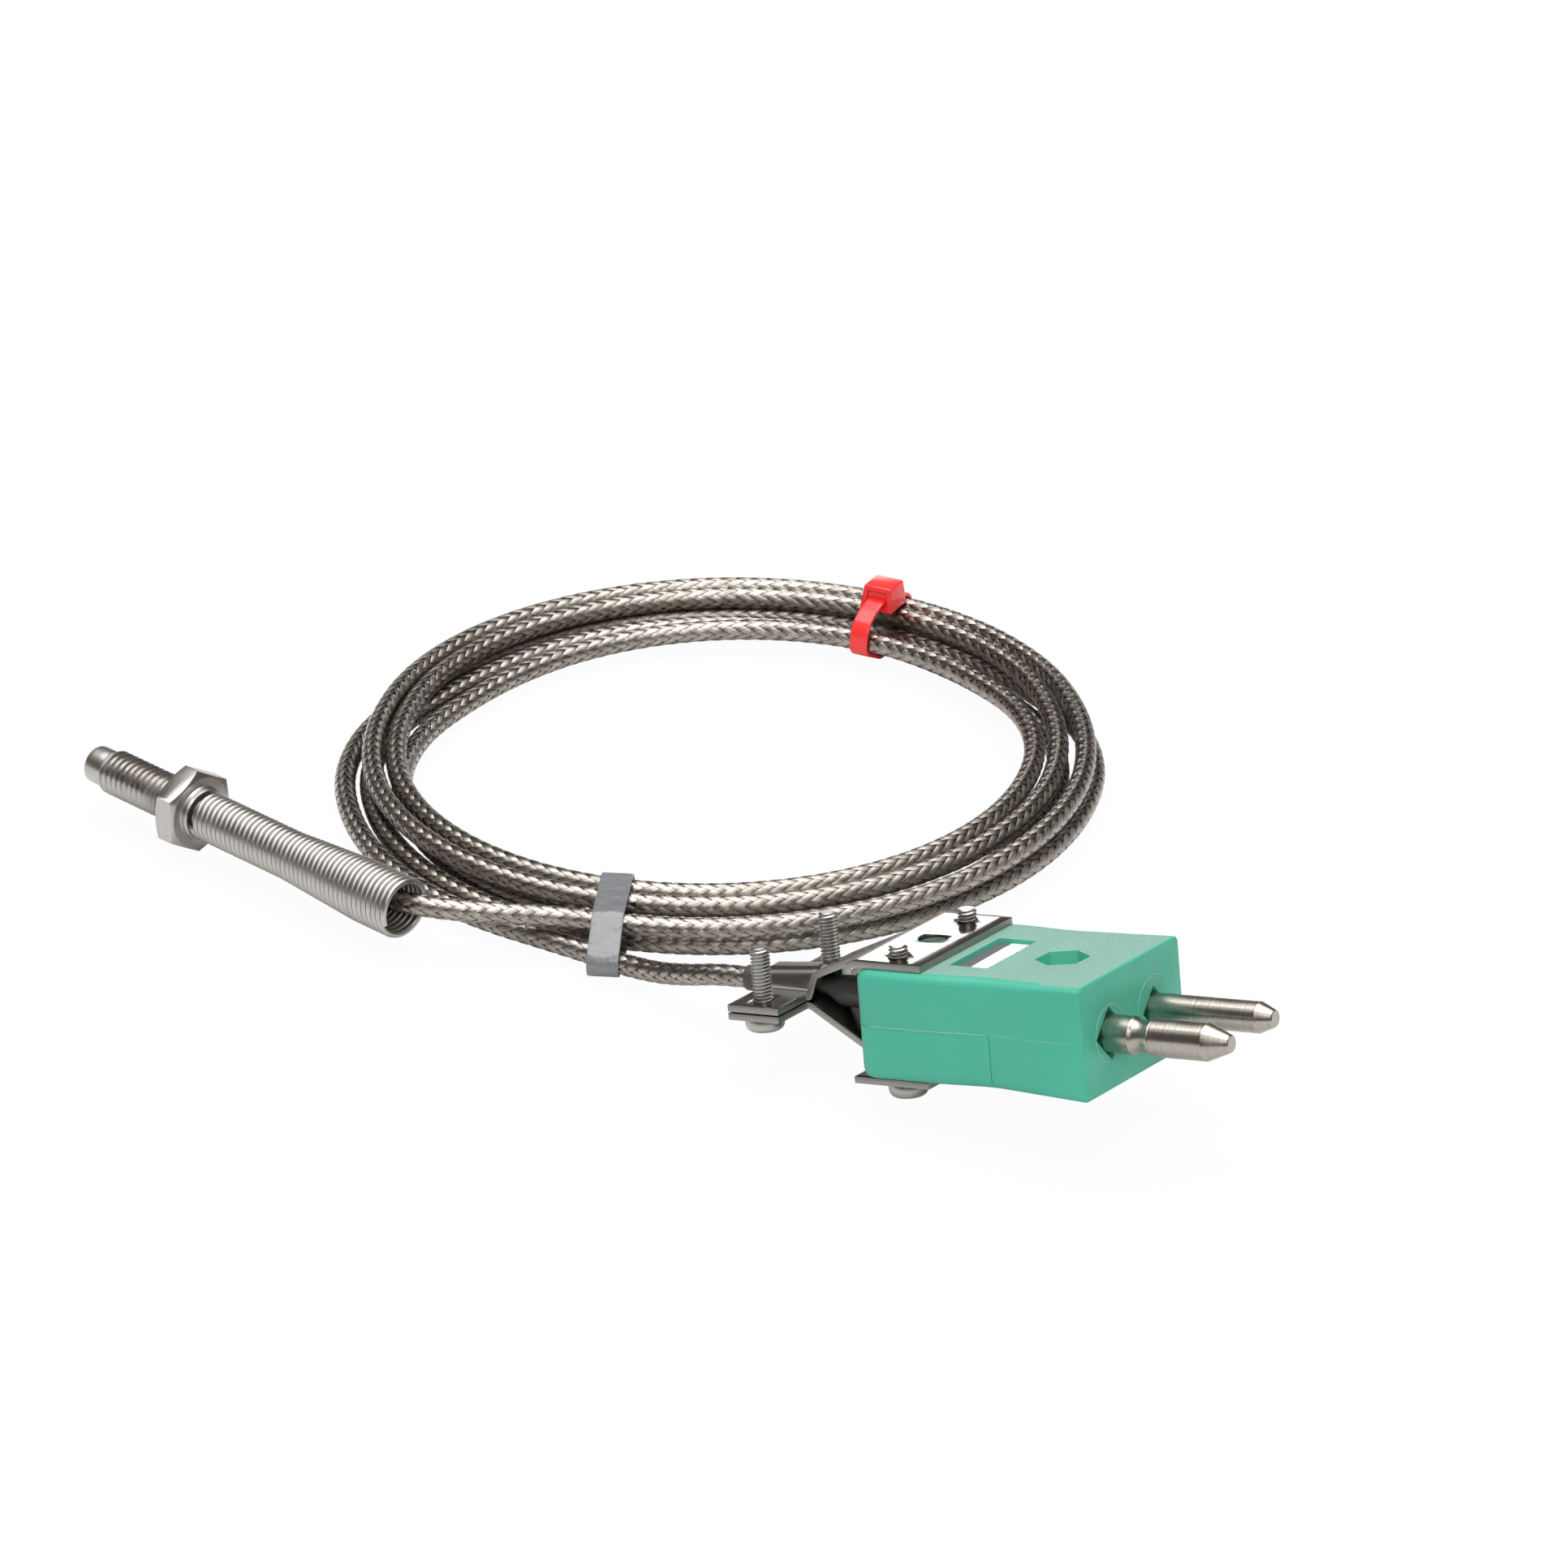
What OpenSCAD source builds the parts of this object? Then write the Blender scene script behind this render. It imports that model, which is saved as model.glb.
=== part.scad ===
// Bolt thermocouple: a threaded probe with a strain relief spring, a steel braided cable
// wound into a tied coil, and a two pin plug with a two plate cable clamp.
// Millimetres, +Z up. The probe lies along +X from its tip to its cable end, the origin
// is on the floor under its middle, and the coil and the plug lie on the same floor.

/* [Probe bolt] */
// Outer diameter of the thread
thread_d = 6; // [5.8:0.1:6.2]
// Length of the thread
thread_len = 12.8; // [10:0.2:13]
// Diameter of the plain nose in front of the thread
nose_d = 5; // [4.6:0.1:5.2]
// Length of the plain nose
nose_len = 3; // [2.5:0.1:3.5]
// Width of the hexagon across its flats
hex_af = 10; // [9:0.5:11]
// Thickness of the hexagon
hex_len = 3.4; // [3:0.1:4]
// Diameter of the collar behind the hexagon
collar_d = 7; // [6.8:0.1:7.4]
// Overall length of the probe, nose to spring mouth
probe_len = 59.2; // [59:0.2:62]

/* [Strain relief spring] */
// Number of curls
spring_curls = 42; // [30:1:42]
// Wire diameter, drawn slim so that the curls stay apart
spring_wire = 0.48; // [0.3:0.02:0.48]
// Radius at the wire's middle, on the narrow end
spring_r_narrow = 2.84; // [2.8:0.02:3]
// Radius at the wire's middle, on the wide mouth
spring_r_wide = 3.67; // [3.4:0.01:3.8]

/* [Cable] */
// Cable diameter, drawn 0.1 mm slim so that the turns stay apart
cable_d = 2.7; // [2.2:0.1:2.7]
// Distance between neighbouring turns of the coil
turn_pitch = 3.12; // [3.12:0.02:3.3]
// Radius of the coil's outer turn, at the cable's middle
coil_r = 50.5; // [49.5:0.5:51]
// How much longer than wide the coil lies, each way from the middle
coil_oval = 1.2; // [0:0.2:1.6]
// How much each turn of the upper layer rises over the one outside it, at the front
coil_rise = 0.2; // [0:0.1:1.2]

/* [Ties] */
// Thickness of the red tie's strap and of the grey band
strap_t = 0.6; // [0.3:0.05:0.65]
// Width of the red tie's strap
tie_w = 2.9; // [2.4:0.1:3.5]
// Width of the grey marker band
band_w = 4.2; // [3.8:0.2:4.6]

/* [Plug] */
// Length of the plug body
plug_l = 32; // [31.6:0.2:33]
// Width of the plug body
plug_w = 25; // [24.6:0.2:26]
// Height of the plug body
plug_h = 13.9; // [13.7:0.1:14.4]
// Diameter of the thin, positive pin
positive_d = 3.96; // [3.9:0.02:4]
// Diameter of the thick, negative pin
negative_d = 4.76; // [4.7:0.02:4.8]
// Distance between the pins
pin_spacing = 11.1; // [11:0.1:11.2]
// How far the pins stand out of the plug
pin_len = 16.8; // [16:0.1:18]

/* [Cable clamp] */
// Thickness of the clamp plates
plate_t = 0.9; // [0.8:0.05:1]
// Width of the clamp plates
plate_w = 22.8; // [22:0.2:24]
// Height of the black cable sleeve where the clamp squeezes it flat
sleeve_flat = 2.1; // [1.8:0.1:2.2]
// Diameter of the black cable sleeve where it is free
sleeve_free_d = 4; // [3.6:0.1:4.4]
// Thread diameter of the clamp screws
screw_d = 2.4; // [2.2:0.1:2.4]
// Head diameter of the clamp screws
head_d = 5; // [4.4:0.1:5.2]
// Height of the screw heads
head_h = 1.9; // [1.4:0.1:2]

/* [Hidden] */
$fn = 64;
eps = 0.02;
steel = [0.78, 0.77, 0.75];
braid = [0.7, 0.67, 0.62];
copper_alloy = [0.72, 0.66, 0.58];
green = [0.28, 0.71, 0.57];

// Probe, along X at the height that stands the hexagon on one corner
hex_ac = hex_af / cos(30);
axis_z = hex_ac / 2;
nose_x = -probe_len / 2;
thread_x = nose_x + nose_len;
relief_x = thread_x + thread_len;
relief_len = 1;
relief_r = thread_d / 2 - 0.45;
hex_x = relief_x + relief_len;
hex_bevel = 0.5;
seat_r = thread_d / 2 + 0.1;
seat_depth = 0.15;
collar_x = hex_x + hex_len;
collar_len = 0.9;
spring_x = collar_x + collar_len;
spigot_len = 5.5;
spigot_r = 2.2;
bore_r = 1.5;
bore_x = nose_x + 1.2;
cable_end_x = hex_x + 0.8;
element_r = 0.25;
element_y = 0.45;
bead_x = bore_x + 0.3;
bead_len = 1.2;
bead_r = 0.8;

// Spring: narrow on the collar, a taper, then a wide mouth
taper_from = 8;
taper_to = 22;
curl_rings = 8;
spring_first = spring_x + spring_wire;
spring_last = probe_len / 2 - spring_wire / 2;
spring_n = spring_curls * curl_rings;

// Coil: spirals in on the upper layer, climbs down, spirals out on the lower layer
coil_at = [24, 61.5];
coil_from = -60;
coil_to = 1724;
loop_rings = 24;
coil_turns = (coil_to - coil_from) / 360;
coil_mid = coil_turns / 2;
low_z = 2.05;
high_z = low_z + turn_pitch;
coil_n = floor(coil_turns * loop_rings - 0.25);
rise_deg = -30;
// The upper turns lie further back than the lower ones, so turns cross at the coil's two sides
front_deg = -45;
upper_back = 2.6;
lower_tuck = 3.6;
last_turn_loose = 1.7;
last_turn_from = 3.9;
front_bulge = 1;
band_deg = -61;
tie_deg = 107;
tie_head = [4.8, 4.8, 3.4];
tie_head_r = 46.1;
tie_slack = 0.15;
strap_gap = 0.06;
band_r = 50;
band_turn = -51;
band_slack = 0.55;
// Where the plug's lead goes into and comes out of the band: out from the band's middle, up, and slack
band_lead = [[4.1, 2.05, 0], [7.3, 2.27, 0.05]];

// Plug: turned as it lies, with its far rear screw head on the floor
plug_roll = -8;
plug_pitch = 10;
plug_yaw = 15;
plug_xy = [127.4, 29.7];
corner_r = 2;
edge_r = 1;
waist_x = -14;
waist_r = 49.25;
waist_depth = 0.5;
split_x = -13.4;
body_screw = [-27.5, 8.4];
jaw_screw = [-47.7, 8.2];
jaw_x = [-51, -43.6];
flat_x = [-32.3, -22.8];
shoulder_x = -33.4;
neck_w = 9;
top_z = plug_h / 2 + eps;
body_tip_z = top_z + plate_t + 1.6;
jaw_tip_z = 7.6;
sleeve_z = 0.8;
sleeve_free_z = 0.2;
sleeve_flat_w = 3.6;
sleeve_end_d = 3.3;
low_jaw_z = sleeve_z - sleeve_flat / 2 - eps;
hat_z = sleeve_z + sleeve_flat / 2 + 0.05;
hat_top_w = 4.8;
hat_foot_w = 6.8;
head_low_r = head_d / 2 - 0.5;
recess = [0.7, 2.6, 0.8];
sleeve_x = [-54.8, -28.5];
// The flat stretch of the sleeve, between its round end and its free stretch
sleeve_flat_x = [-51.3, -40.7];
up_row = [sin(plug_pitch), cos(plug_pitch) * sin(plug_roll), cos(plug_pitch) * cos(plug_roll)];
head_under_z = -top_z - plate_t - eps - head_h;
head_drop = up_row * [body_screw[0], body_screw[1], head_under_z]
    - head_low_r * sqrt(1 - up_row[2] * up_row[2]);
plug_at = [plug_xy[0], plug_xy[1], -head_drop];
plug_dir = [cos(plug_pitch) * cos(plug_yaw), cos(plug_pitch) * sin(plug_yaw), sin(plug_pitch)];
plug_up = [
    -sin(plug_pitch) * cos(plug_roll) * cos(plug_yaw) + sin(plug_roll) * sin(plug_yaw),
    -sin(plug_pitch) * cos(plug_roll) * sin(plug_yaw) - sin(plug_roll) * cos(plug_yaw),
    cos(plug_pitch) * cos(plug_roll)
];
sleeve_face = plug_at + plug_dir * sleeve_x[0] + plug_up * sleeve_z;

// Inside the plug
chamber_x = [-30.2, split_x];
chamber_w = 21.4;
chamber_z = [-5.5, 5.2];
boss_r = 2.6;
bore_clear = 1.6;
block_l = 7;
block_w = 5.8;
block_z = [-1.2, 3];
terminal_x = split_x - 3.6;
terminal_r = 1.25;
terminal_head_r = 2.4;
terminal_head_h = 1.5;
terminal_tip_z = 2.4;
washer_z = -1.95;
washer_t = 0.7;
washer_w = 5.2;
groove_x = [2.2, 5.2];
pin_z = -0.45;
pin_tip_r = 1.05;
groove_depth = 0.35;
core_r = 0.35;
core_z = (block_z[0] + washer_z) / 2;
core_y = pin_spacing / 2 - 1.7;
label_size = [5.1, 12.1];
label_x = -18.55;
label_y = -0.85;
label_depth = 0.6;
label_t = 0.4;
nut_pocket_x = -9;
nut_pocket_y = -0.4;
nut_pocket_ac = 6.9;
nut_pocket_depth = 2.4;
nut_pocket_turn = 27;

// Points chosen for the free stretches of the cable and of its two cores
probe_lead_mid = [
    [-2, 0, axis_z], [5, 0, axis_z], [12, 0, axis_z], [18, 0.1, 5.8], [23, 0.35, 5.9],
    [27, 0.8, 6.05], [30.5, 1.8, 6.1], [33.5, 3.6, 6], [36.5, 6.2, 5.8], [39.5, 9.1, 5.5],
    [42.4, 11.8, 5.3]
];
plug_lead_mid = [
    [44.6, 12.25, 2.05], [50.3, 13.25, 2.1], [56, 13.75, 2.45], [61.4, 13.9, 3.45],
    [66.2, 13.9, 4.95]
];
core_mid = [
    [-27.4, 0.8, sleeve_free_z], [-25, 2.1, -0.3], [-22.6, 3.4, -1.2], [-21.2, core_y, core_z]
];

function unit(v) = v / norm(v);
function spring_radius(x) = x < taper_from ? spring_r_narrow : x > taper_to ? spring_r_wide
    : spring_r_narrow + (spring_r_wide - spring_r_narrow) * (x - taper_from) / (taper_to - taper_from);
function spring_out(i) = [0, sin(360 * i / curl_rings), cos(360 * i / curl_rings)];
function spring_point(i) =
    let (x = spring_first + (spring_last - spring_first) * i / spring_n)
    [x, 0, axis_z] + spring_radius(x) * spring_out(i);
function ease(f) = let (c = min(1, max(0, f))) c * c * (3 - 2 * c);
function coil_step(t) = coil_mid - abs(t - coil_mid);
function coil_low(t) = ease((t - coil_mid) * 2 + 0.5);
function from_front(t) = coil_from + 360 * t - front_deg;
function at_back(a) = ease((-cos(a) - 0.05) / 0.65);
function back_shift(a) = upper_back * (1 - 0.5 * sin(a) * sin(a)) * (1 - at_back(a));
function coil_shift(t) =
    let (a = from_front(t), low = coil_low(t), tuck = lower_tuck * at_back(a))
    let (plain = back_shift(a) * ease(2 * t) * (1 - low) + tuck * low)
    plain + ease((0.5 - abs(t - coil_mid)) * 4) * (back_shift(a) + tuck - plain);
function coil_bulge(t) =
    let (a = from_front(t), front = max(0, cos(a)))
    last_turn_loose * sin(a) * sin(a) * (1 + 0.8 * sin(a)) / 2 * ease((t - last_turn_from) / 0.3)
    + front_bulge * front * front * ease((t - coil_mid) * 2 - 0.5);
function coil_radius(t) = coil_r + coil_oval * cos(2 * (coil_from + 360 * t - band_deg))
    - turn_pitch * coil_step(t) - coil_shift(t) + coil_bulge(t);
function coil_rising(t) = coil_rise * coil_step(t) * (1 + cos(coil_from + 360 * t - rise_deg)) / 2;
function coil_height(t) = low_z + (turn_pitch + coil_rising(t)) * (1 - coil_low(t));
function coil_point(t) = let (a = coil_from + 360 * t) [
    coil_at[0] + coil_radius(t) * cos(a),
    coil_at[1] + coil_radius(t) * sin(a),
    coil_height(t)
];
function coil_heading(t) = unit(coil_point(t + 0.001) - coil_point(t - 0.001));

// Path of each wound or free stretch, with a straight end of one diameter where it meets something
spring_path = concat(
    [[spring_x, 0, axis_z + spring_r_narrow]],
    [for (i = [0:spring_n]) spring_point(i)]
);
spring_outs = concat([[0, 0, 1]], [for (i = [0:spring_n]) spring_out(i)]);
coil_start = coil_point(0) - coil_heading(0) * cable_d;
coil_end = coil_point(coil_turns) + coil_heading(coil_turns) * cable_d;
coil_rings = [for (i = [0:coil_n]) coil_point(i / loop_rings)];
coil_path = concat([coil_start], coil_rings, [coil_point(coil_turns), coil_end]);
probe_lead_path = concat(
    [[cable_end_x, 0, axis_z], [cable_end_x + cable_d, 0, axis_z]],
    probe_lead_mid,
    [coil_start - coil_heading(0) * cable_d, coil_start]
);
plug_lead_path = concat(
    [coil_end, coil_end + coil_heading(coil_turns) * cable_d / 2],
    plug_lead_mid,
    [sleeve_face - plug_dir * cable_d * 1.6, sleeve_face]
);

function path_length(p) = let (s = [for (i = [1:len(p) - 1]) norm(p[i] - p[i - 1])]) s * [for (x = s) 1];
function least_gap(p, d, skip) = min([for (i = [0:len(p) - 1 - skip]) for (j = [i + skip:len(p) - 1])
    norm(p[i] - p[j])]) - d;
echo(spring_least_gap = least_gap(spring_path, spring_wire, curl_rings - 2));
echo(coil_least_gap = least_gap(coil_rings, cable_d, loop_rings - 6));
echo(cable_length = path_length(probe_lead_path) + path_length(coil_path) + path_length(plug_lead_path));
echo(plug_at = plug_at, plug_dir = plug_dir, plug_up = plug_up, sleeve_face = sleeve_face);

// One closed tube along a path; out gives each ring a direction that keeps it from twisting
function path_heading(p, i) = unit(p[min(i + 1, len(p) - 1)] - p[max(i - 1, 0)]);
function ring_points(c, t, out, r, sides) =
    let (n = unit(out - t * (out * t)), b = cross(t, n))
    [for (k = [0:sides - 1]) c + r * (cos(360 * k / sides) * n + sin(360 * k / sides) * b)];
function all_up(path) = [for (p = path) [0, 0, 1]];

module tube(path, outs, r, sides) {
    rings = len(path);
    points = [for (i = [0:rings - 1])
        each ring_points(path[i], path_heading(path, i), outs[i], r, sides)];
    walls = [for (i = [0:rings - 2]) for (k = [0:sides - 1])
        let (a = i * sides + k, b = i * sides + (k + 1) % sides)
        each [[a, a + sides, b], [b, a + sides, b + sides]]];
    base = (rings - 1) * sides;
    first = [for (k = [1:sides - 2]) [0, k, k + 1]];
    last = [for (k = [1:sides - 2]) [base, base + k + 1, base + k]];
    polyhedron(points, concat(walls, first, last));
}

// Round bar along X on the probe's axis
module bar(x, len, r, r_end = 0) {
    translate([x, 0, axis_z])
    rotate([0, 90, 0])
    cylinder(r1 = r, r2 = r_end > 0 ? r_end : r, h = len);
}

module hexagon() {
    intersection() {
        translate([hex_x, 0, axis_z])
        rotate([0, 90, 0])
        cylinder(d = hex_ac, h = hex_len, $fn = 6);
        union() {
            bar(hex_x, hex_bevel, hex_af / 2 - 0.1, hex_ac / 2 + 0.05);
            bar(hex_x + hex_bevel, hex_len - 2 * hex_bevel, hex_ac / 2 + 0.05);
            bar(hex_x + hex_len - hex_bevel, hex_bevel, hex_ac / 2 + 0.05, hex_af / 2 - 0.1);
        }
    }
}

module probe_bolt() {
    color(steel)
    difference() {
        union() {
            bar(nose_x, 0.5, nose_d / 2 - 0.4, nose_d / 2);
            bar(nose_x + 0.5, nose_len - 0.5, nose_d / 2);
            bar(thread_x, thread_len, thread_d / 2);
            bar(relief_x, relief_len + 2 * seat_depth, relief_r);
            difference() {
                hexagon();
                bar(hex_x - 1, 1 + seat_depth, seat_r);
            }
            bar(collar_x, collar_len, collar_d / 2);
            bar(spring_x, spigot_len, spigot_r);
        }
        bar(bore_x, probe_len, bore_r, $fn = 12);
    }
}

module thermo_junction() {
    color(copper_alloy)
    bar(bead_x, bead_len, bead_r, $fn = 12);
}

module cement_fill() {
    color([0.9, 0.88, 0.82])
    difference() {
        bar(bore_x + eps, cable_end_x - bore_x - eps, bore_r - eps, $fn = 12);
        bar(bead_x - eps, bead_len + eps, bead_r + eps, $fn = 12);
        for (side = [-1, 1]) {
            translate([0, side * element_y, 0])
            bar(bead_x, probe_len, element_r + eps, $fn = 8);
        }
    }
}

module element(side) {
    color(copper_alloy)
    translate([0, side * element_y, 0])
    bar(bead_x + bead_len, cable_end_x - bead_x - bead_len, element_r, $fn = 8);
}

module positive_element() {
    element(1);
}

module negative_element() {
    element(-1);
}

module strain_spring() {
    color(steel)
    tube(spring_path, spring_outs, spring_wire / 2, 5);
}

module cable_probe_lead() {
    color(braid)
    tube(probe_lead_path, all_up(probe_lead_path), cable_d / 2, 8);
}

module cable_coil() {
    color(braid)
    tube(coil_path, all_up(coil_path), cable_d / 2, 6);
}

module cable_plug_lead() {
    color(braid)
    tube(plug_lead_path, all_up(plug_lead_path), cable_d / 2, 8);
}

// Loop round the strands that pass one angle of the coil; local x runs out, y along the cable
module at_coil(deg) {
    translate([coil_at[0], coil_at[1], 0])
    rotate([0, 0, deg])
    children();
}

function strand_spots(deg, count, slack) = [for (k = [0:count - 1])
    let (t = (deg - coil_from) / 360 + k)
    [coil_radius(t), coil_height(t), slack]
];

module strands(spots, r) {
    hull() {
        for (spot = spots) {
            for (side = [-1, 1]) {
                translate([spot[0] + side * spot[2], spot[1]])
                circle(r = r, $fn = 32);
            }
        }
    }
}

module loop(spots, w) {
    rotate([90, 0, 0])
    linear_extrude(w, center = true)
    difference() {
        strands(spots, cable_d / 2 + strap_gap + strap_t);
        strands(spots, cable_d / 2 + strap_gap);
    }
}

module red_cable_tie() {
    head_z = high_z + cable_d / 2 + strap_t - 0.2;
    color([0.75, 0.05, 0.08])
    at_coil(tie_deg) {
        loop(strand_spots(tie_deg, 5, tie_slack), tie_w);
        translate([tie_head_r - tie_head[0] / 2, -tie_head[1] / 2, head_z])
        cube(tie_head);
    }
}

// The band lies askew, so each strand is followed from the band's middle angle to the band's own plane
function band_spot(k) =
    let (out = [cos(band_turn), sin(band_turn), 0], square = [-sin(band_turn), cos(band_turn), 0])
    let (hub = [coil_at[0] + band_r * cos(band_deg), coil_at[1] + band_r * sin(band_deg), 0])
    let (t = (band_deg - coil_from) / 360 + k)
    let (from = coil_point(t) - hub, heading = coil_heading(t))
    let (spot = from - heading * (from * square) / (heading * square))
    [spot * out, spot[2], band_slack];

module grey_marker_band() {
    color([0.55, 0.56, 0.57])
    at_coil(band_deg)
    translate([band_r, 0, 0])
    rotate([0, 0, band_turn - band_deg])
    loop(concat([for (k = [0:4]) band_spot(k)], band_lead), band_w);
}

// Plug pieces are drawn in the plug's own frame: x to the pins from the front face, z up
module in_plug() {
    translate(plug_at)
    rotate([plug_roll, -plug_pitch, plug_yaw])
    children();
}

module soft_rect(w, h, r) {
    square([w - 2 * r, h], center = true);
    square([w, h - 2 * r], center = true);
    for (x = [-1, 1]) {
        for (y = [-1, 1]) {
            translate([x * (w / 2 - r), y * (h / 2 - r)])
            circle(r = r);
        }
    }
}

module upright(x, y, z, r, h) {
    translate([x, y, z])
    cylinder(r = r, h = h);
}

module lengthways(x, y, z, r, len) {
    translate([x, y, z])
    rotate([0, 90, 0])
    cylinder(r = r, h = len);
}

module plug_block() {
    difference() {
        intersection() {
            translate([-plug_l / 2, 0, -plug_h])
            linear_extrude(2 * plug_h)
            union() {
                soft_rect(plug_l, plug_w, corner_r);
                translate([0, -plug_w / 2])
                square([plug_l / 2, plug_w]);
            }
            translate([-plug_l, 0, 0])
            rotate([90, 0, 90])
            linear_extrude(plug_l)
            soft_rect(plug_w, plug_h, edge_r);
        }
        for (side = [-1, 1]) {
            translate([waist_x, side * (plug_w / 2 + waist_r - waist_depth), -plug_h])
            cylinder(r = waist_r, h = 2 * plug_h, $fn = 256);
        }
    }
}

module cover_zone() {
    translate([-plug_l - 1, -plug_w, -plug_h])
    cube([plug_l + 1 + split_x, 2 * plug_w, plug_h]);
}

module plug_hollows() {
    difference() {
        translate([chamber_x[0], -chamber_w / 2, chamber_z[0]])
        cube([chamber_x[1] - chamber_x[0], chamber_w, chamber_z[1] - chamber_z[0]]);
        for (side = [-1, 1]) {
            upright(body_screw[0], side * body_screw[1], -plug_h, boss_r, 2 * plug_h);
            translate([split_x - 6, side * pin_spacing / 2 - 1, block_z[1]])
            cube([5, 2, plug_h]);
        }
    }
    for (side = [-1, 1]) {
        upright(body_screw[0], side * body_screw[1], -plug_h, bore_clear, 2 * plug_h);
    }
    lengthways(-plug_l - 1, 0, sleeve_free_z, sleeve_free_d / 2 + 0.05, 4);
}

module pin_channel(side, width) {
    translate([split_x - 0.01, side * pin_spacing / 2, pin_z])
    rotate([45, 0, 0])
    translate([0, -width / 2, -width / 2])
    cube([plug_l, width, width]);
}

module plug_housing() {
    color(green)
    in_plug()
    difference() {
        plug_block();
        cover_zone();
        plug_hollows();
        pin_channel(1, positive_d + 0.1);
        pin_channel(-1, negative_d + 0.1);
        translate([
            label_x - label_size[0] / 2 - 0.1, label_y - label_size[1] / 2 - 0.1, plug_h / 2 - label_depth
        ])
        cube([label_size[0] + 0.2, label_size[1] + 0.2, plug_h]);
        translate([nut_pocket_x, nut_pocket_y, plug_h / 2 - nut_pocket_depth])
        rotate([0, 0, nut_pocket_turn])
        cylinder(d = nut_pocket_ac, h = plug_h, $fn = 6);
    }
}

module plug_cover() {
    color(green)
    in_plug()
    difference() {
        intersection() {
            plug_block();
            cover_zone();
        }
        plug_hollows();
    }
}

module label_plate() {
    color([0.85, 0.86, 0.87])
    in_plug()
    translate([label_x - label_size[0] / 2, label_y - label_size[1] / 2, plug_h / 2 - label_depth])
    cube([label_size[0], label_size[1], label_t]);
}

// Pin with a conical end and, at its inner end, the block its terminal screw goes into
module pin(side, d, cone_x) {
    color(copper_alloy)
    in_plug()
    difference() {
        translate([0, side * pin_spacing / 2, 0]) {
            lengthways(split_x - 0.5, 0, pin_z, d / 2 - 0.5, -split_x + 0.6);
            lengthways(0, 0, pin_z, d / 2, cone_x);
            translate([cone_x, 0, pin_z])
            rotate([0, 90, 0])
            cylinder(r1 = d / 2, r2 = pin_tip_r, h = pin_len - cone_x);
            translate([split_x - block_l, -block_w / 2, block_z[0]])
            cube([block_l, block_w, block_z[1] - block_z[0]]);
        }
        upright(terminal_x, side * pin_spacing / 2, -plug_h, terminal_r + 0.05, 2 * plug_h);
        children();
    }
}

module positive_pin() {
    pin(1, positive_d, 14.8);
}

module negative_pin() {
    pin(-1, negative_d, 13.7)
    translate([groove_x[0], -pin_spacing / 2, pin_z])
    rotate([0, 90, 0])
    rotate_extrude()
    polygon([
        [negative_d / 2 + 1, 0], [negative_d / 2, 0], [negative_d / 2 - groove_depth, 1],
        [negative_d / 2 - groove_depth, 2], [negative_d / 2, groove_x[1] - groove_x[0]],
        [negative_d / 2 + 1, groove_x[1] - groove_x[0]]
    ]);
}

// Pan head screw on a vertical axis, head down, with a cross recess
module pan_screw(x, y, under_z, tip_z, r, head_r, h) {
    difference() {
        union() {
            upright(x, y, under_z, r, tip_z - under_z);
            upright(x, y, under_z - h + 0.5, head_r, h - 0.5);
            translate([x, y, under_z - h])
            cylinder(r1 = head_r - 0.5, r2 = head_r, h = 0.5);
        }
        for (turn = [0, 90]) {
            translate([x, y, under_z - h])
            rotate([0, 0, turn])
            cube([recess[0], recess[1], 2 * recess[2]], center = true);
        }
    }
}

module clamp_screw(at, side, under_z, tip_z) {
    color(steel)
    in_plug()
    pan_screw(at[0], side * at[1], under_z, tip_z, screw_d / 2, head_d / 2, head_h);
}

module near_jaw_screw() {
    clamp_screw(jaw_screw, -1, low_jaw_z - plate_t - eps, jaw_tip_z);
}

module far_jaw_screw() {
    clamp_screw(jaw_screw, 1, low_jaw_z - plate_t - eps, jaw_tip_z);
}

module near_body_screw() {
    clamp_screw(body_screw, -1, -top_z - plate_t - eps, body_tip_z);
}

module far_body_screw() {
    clamp_screw(body_screw, 1, -top_z - plate_t - eps, body_tip_z);
}

module terminal_screw(side) {
    color(copper_alloy)
    in_plug()
    pan_screw(terminal_x, side * pin_spacing / 2, washer_z - washer_t - eps, terminal_tip_z,
        terminal_r, terminal_head_r, terminal_head_h);
}

module positive_terminal_screw() {
    terminal_screw(1);
}

module negative_terminal_screw() {
    terminal_screw(-1);
}

module pressure_washer(side) {
    color(copper_alloy)
    in_plug()
    difference() {
        translate([terminal_x, side * pin_spacing / 2, washer_z - washer_t / 2])
        cube([washer_w, washer_w, washer_t], center = true);
        upright(terminal_x, side * pin_spacing / 2, -plug_h, terminal_r + 0.1, 2 * plug_h);
    }
}

module positive_pressure_washer() {
    pressure_washer(1);
}

module negative_pressure_washer() {
    pressure_washer(-1);
}

// Clamp plate: a flat on the plug, a narrow sloping neck and a jaw
module plate_flat(z) {
    translate([flat_x[0], -plate_w / 2, z])
    cube([flat_x[1] - flat_x[0], plate_w, plate_t]);
}

module plate_neck(flat_z, jaw_z) {
    intersection() {
        rotate([90, 0, 0])
        linear_extrude(plate_w, center = true)
        polygon([
            [flat_x[0], flat_z], [flat_x[0], flat_z + plate_t],
            [jaw_x[1], jaw_z + plate_t], [jaw_x[1], jaw_z]
        ]);
        translate([0, 0, -plug_h])
        linear_extrude(2 * plug_h)
        union() {
            translate([shoulder_x, -plate_w / 2])
            square([flat_x[1] - shoulder_x, plate_w]);
            translate([jaw_x[0], -neck_w / 2])
            square([flat_x[0] - jaw_x[0], neck_w]);
        }
    }
}

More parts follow.
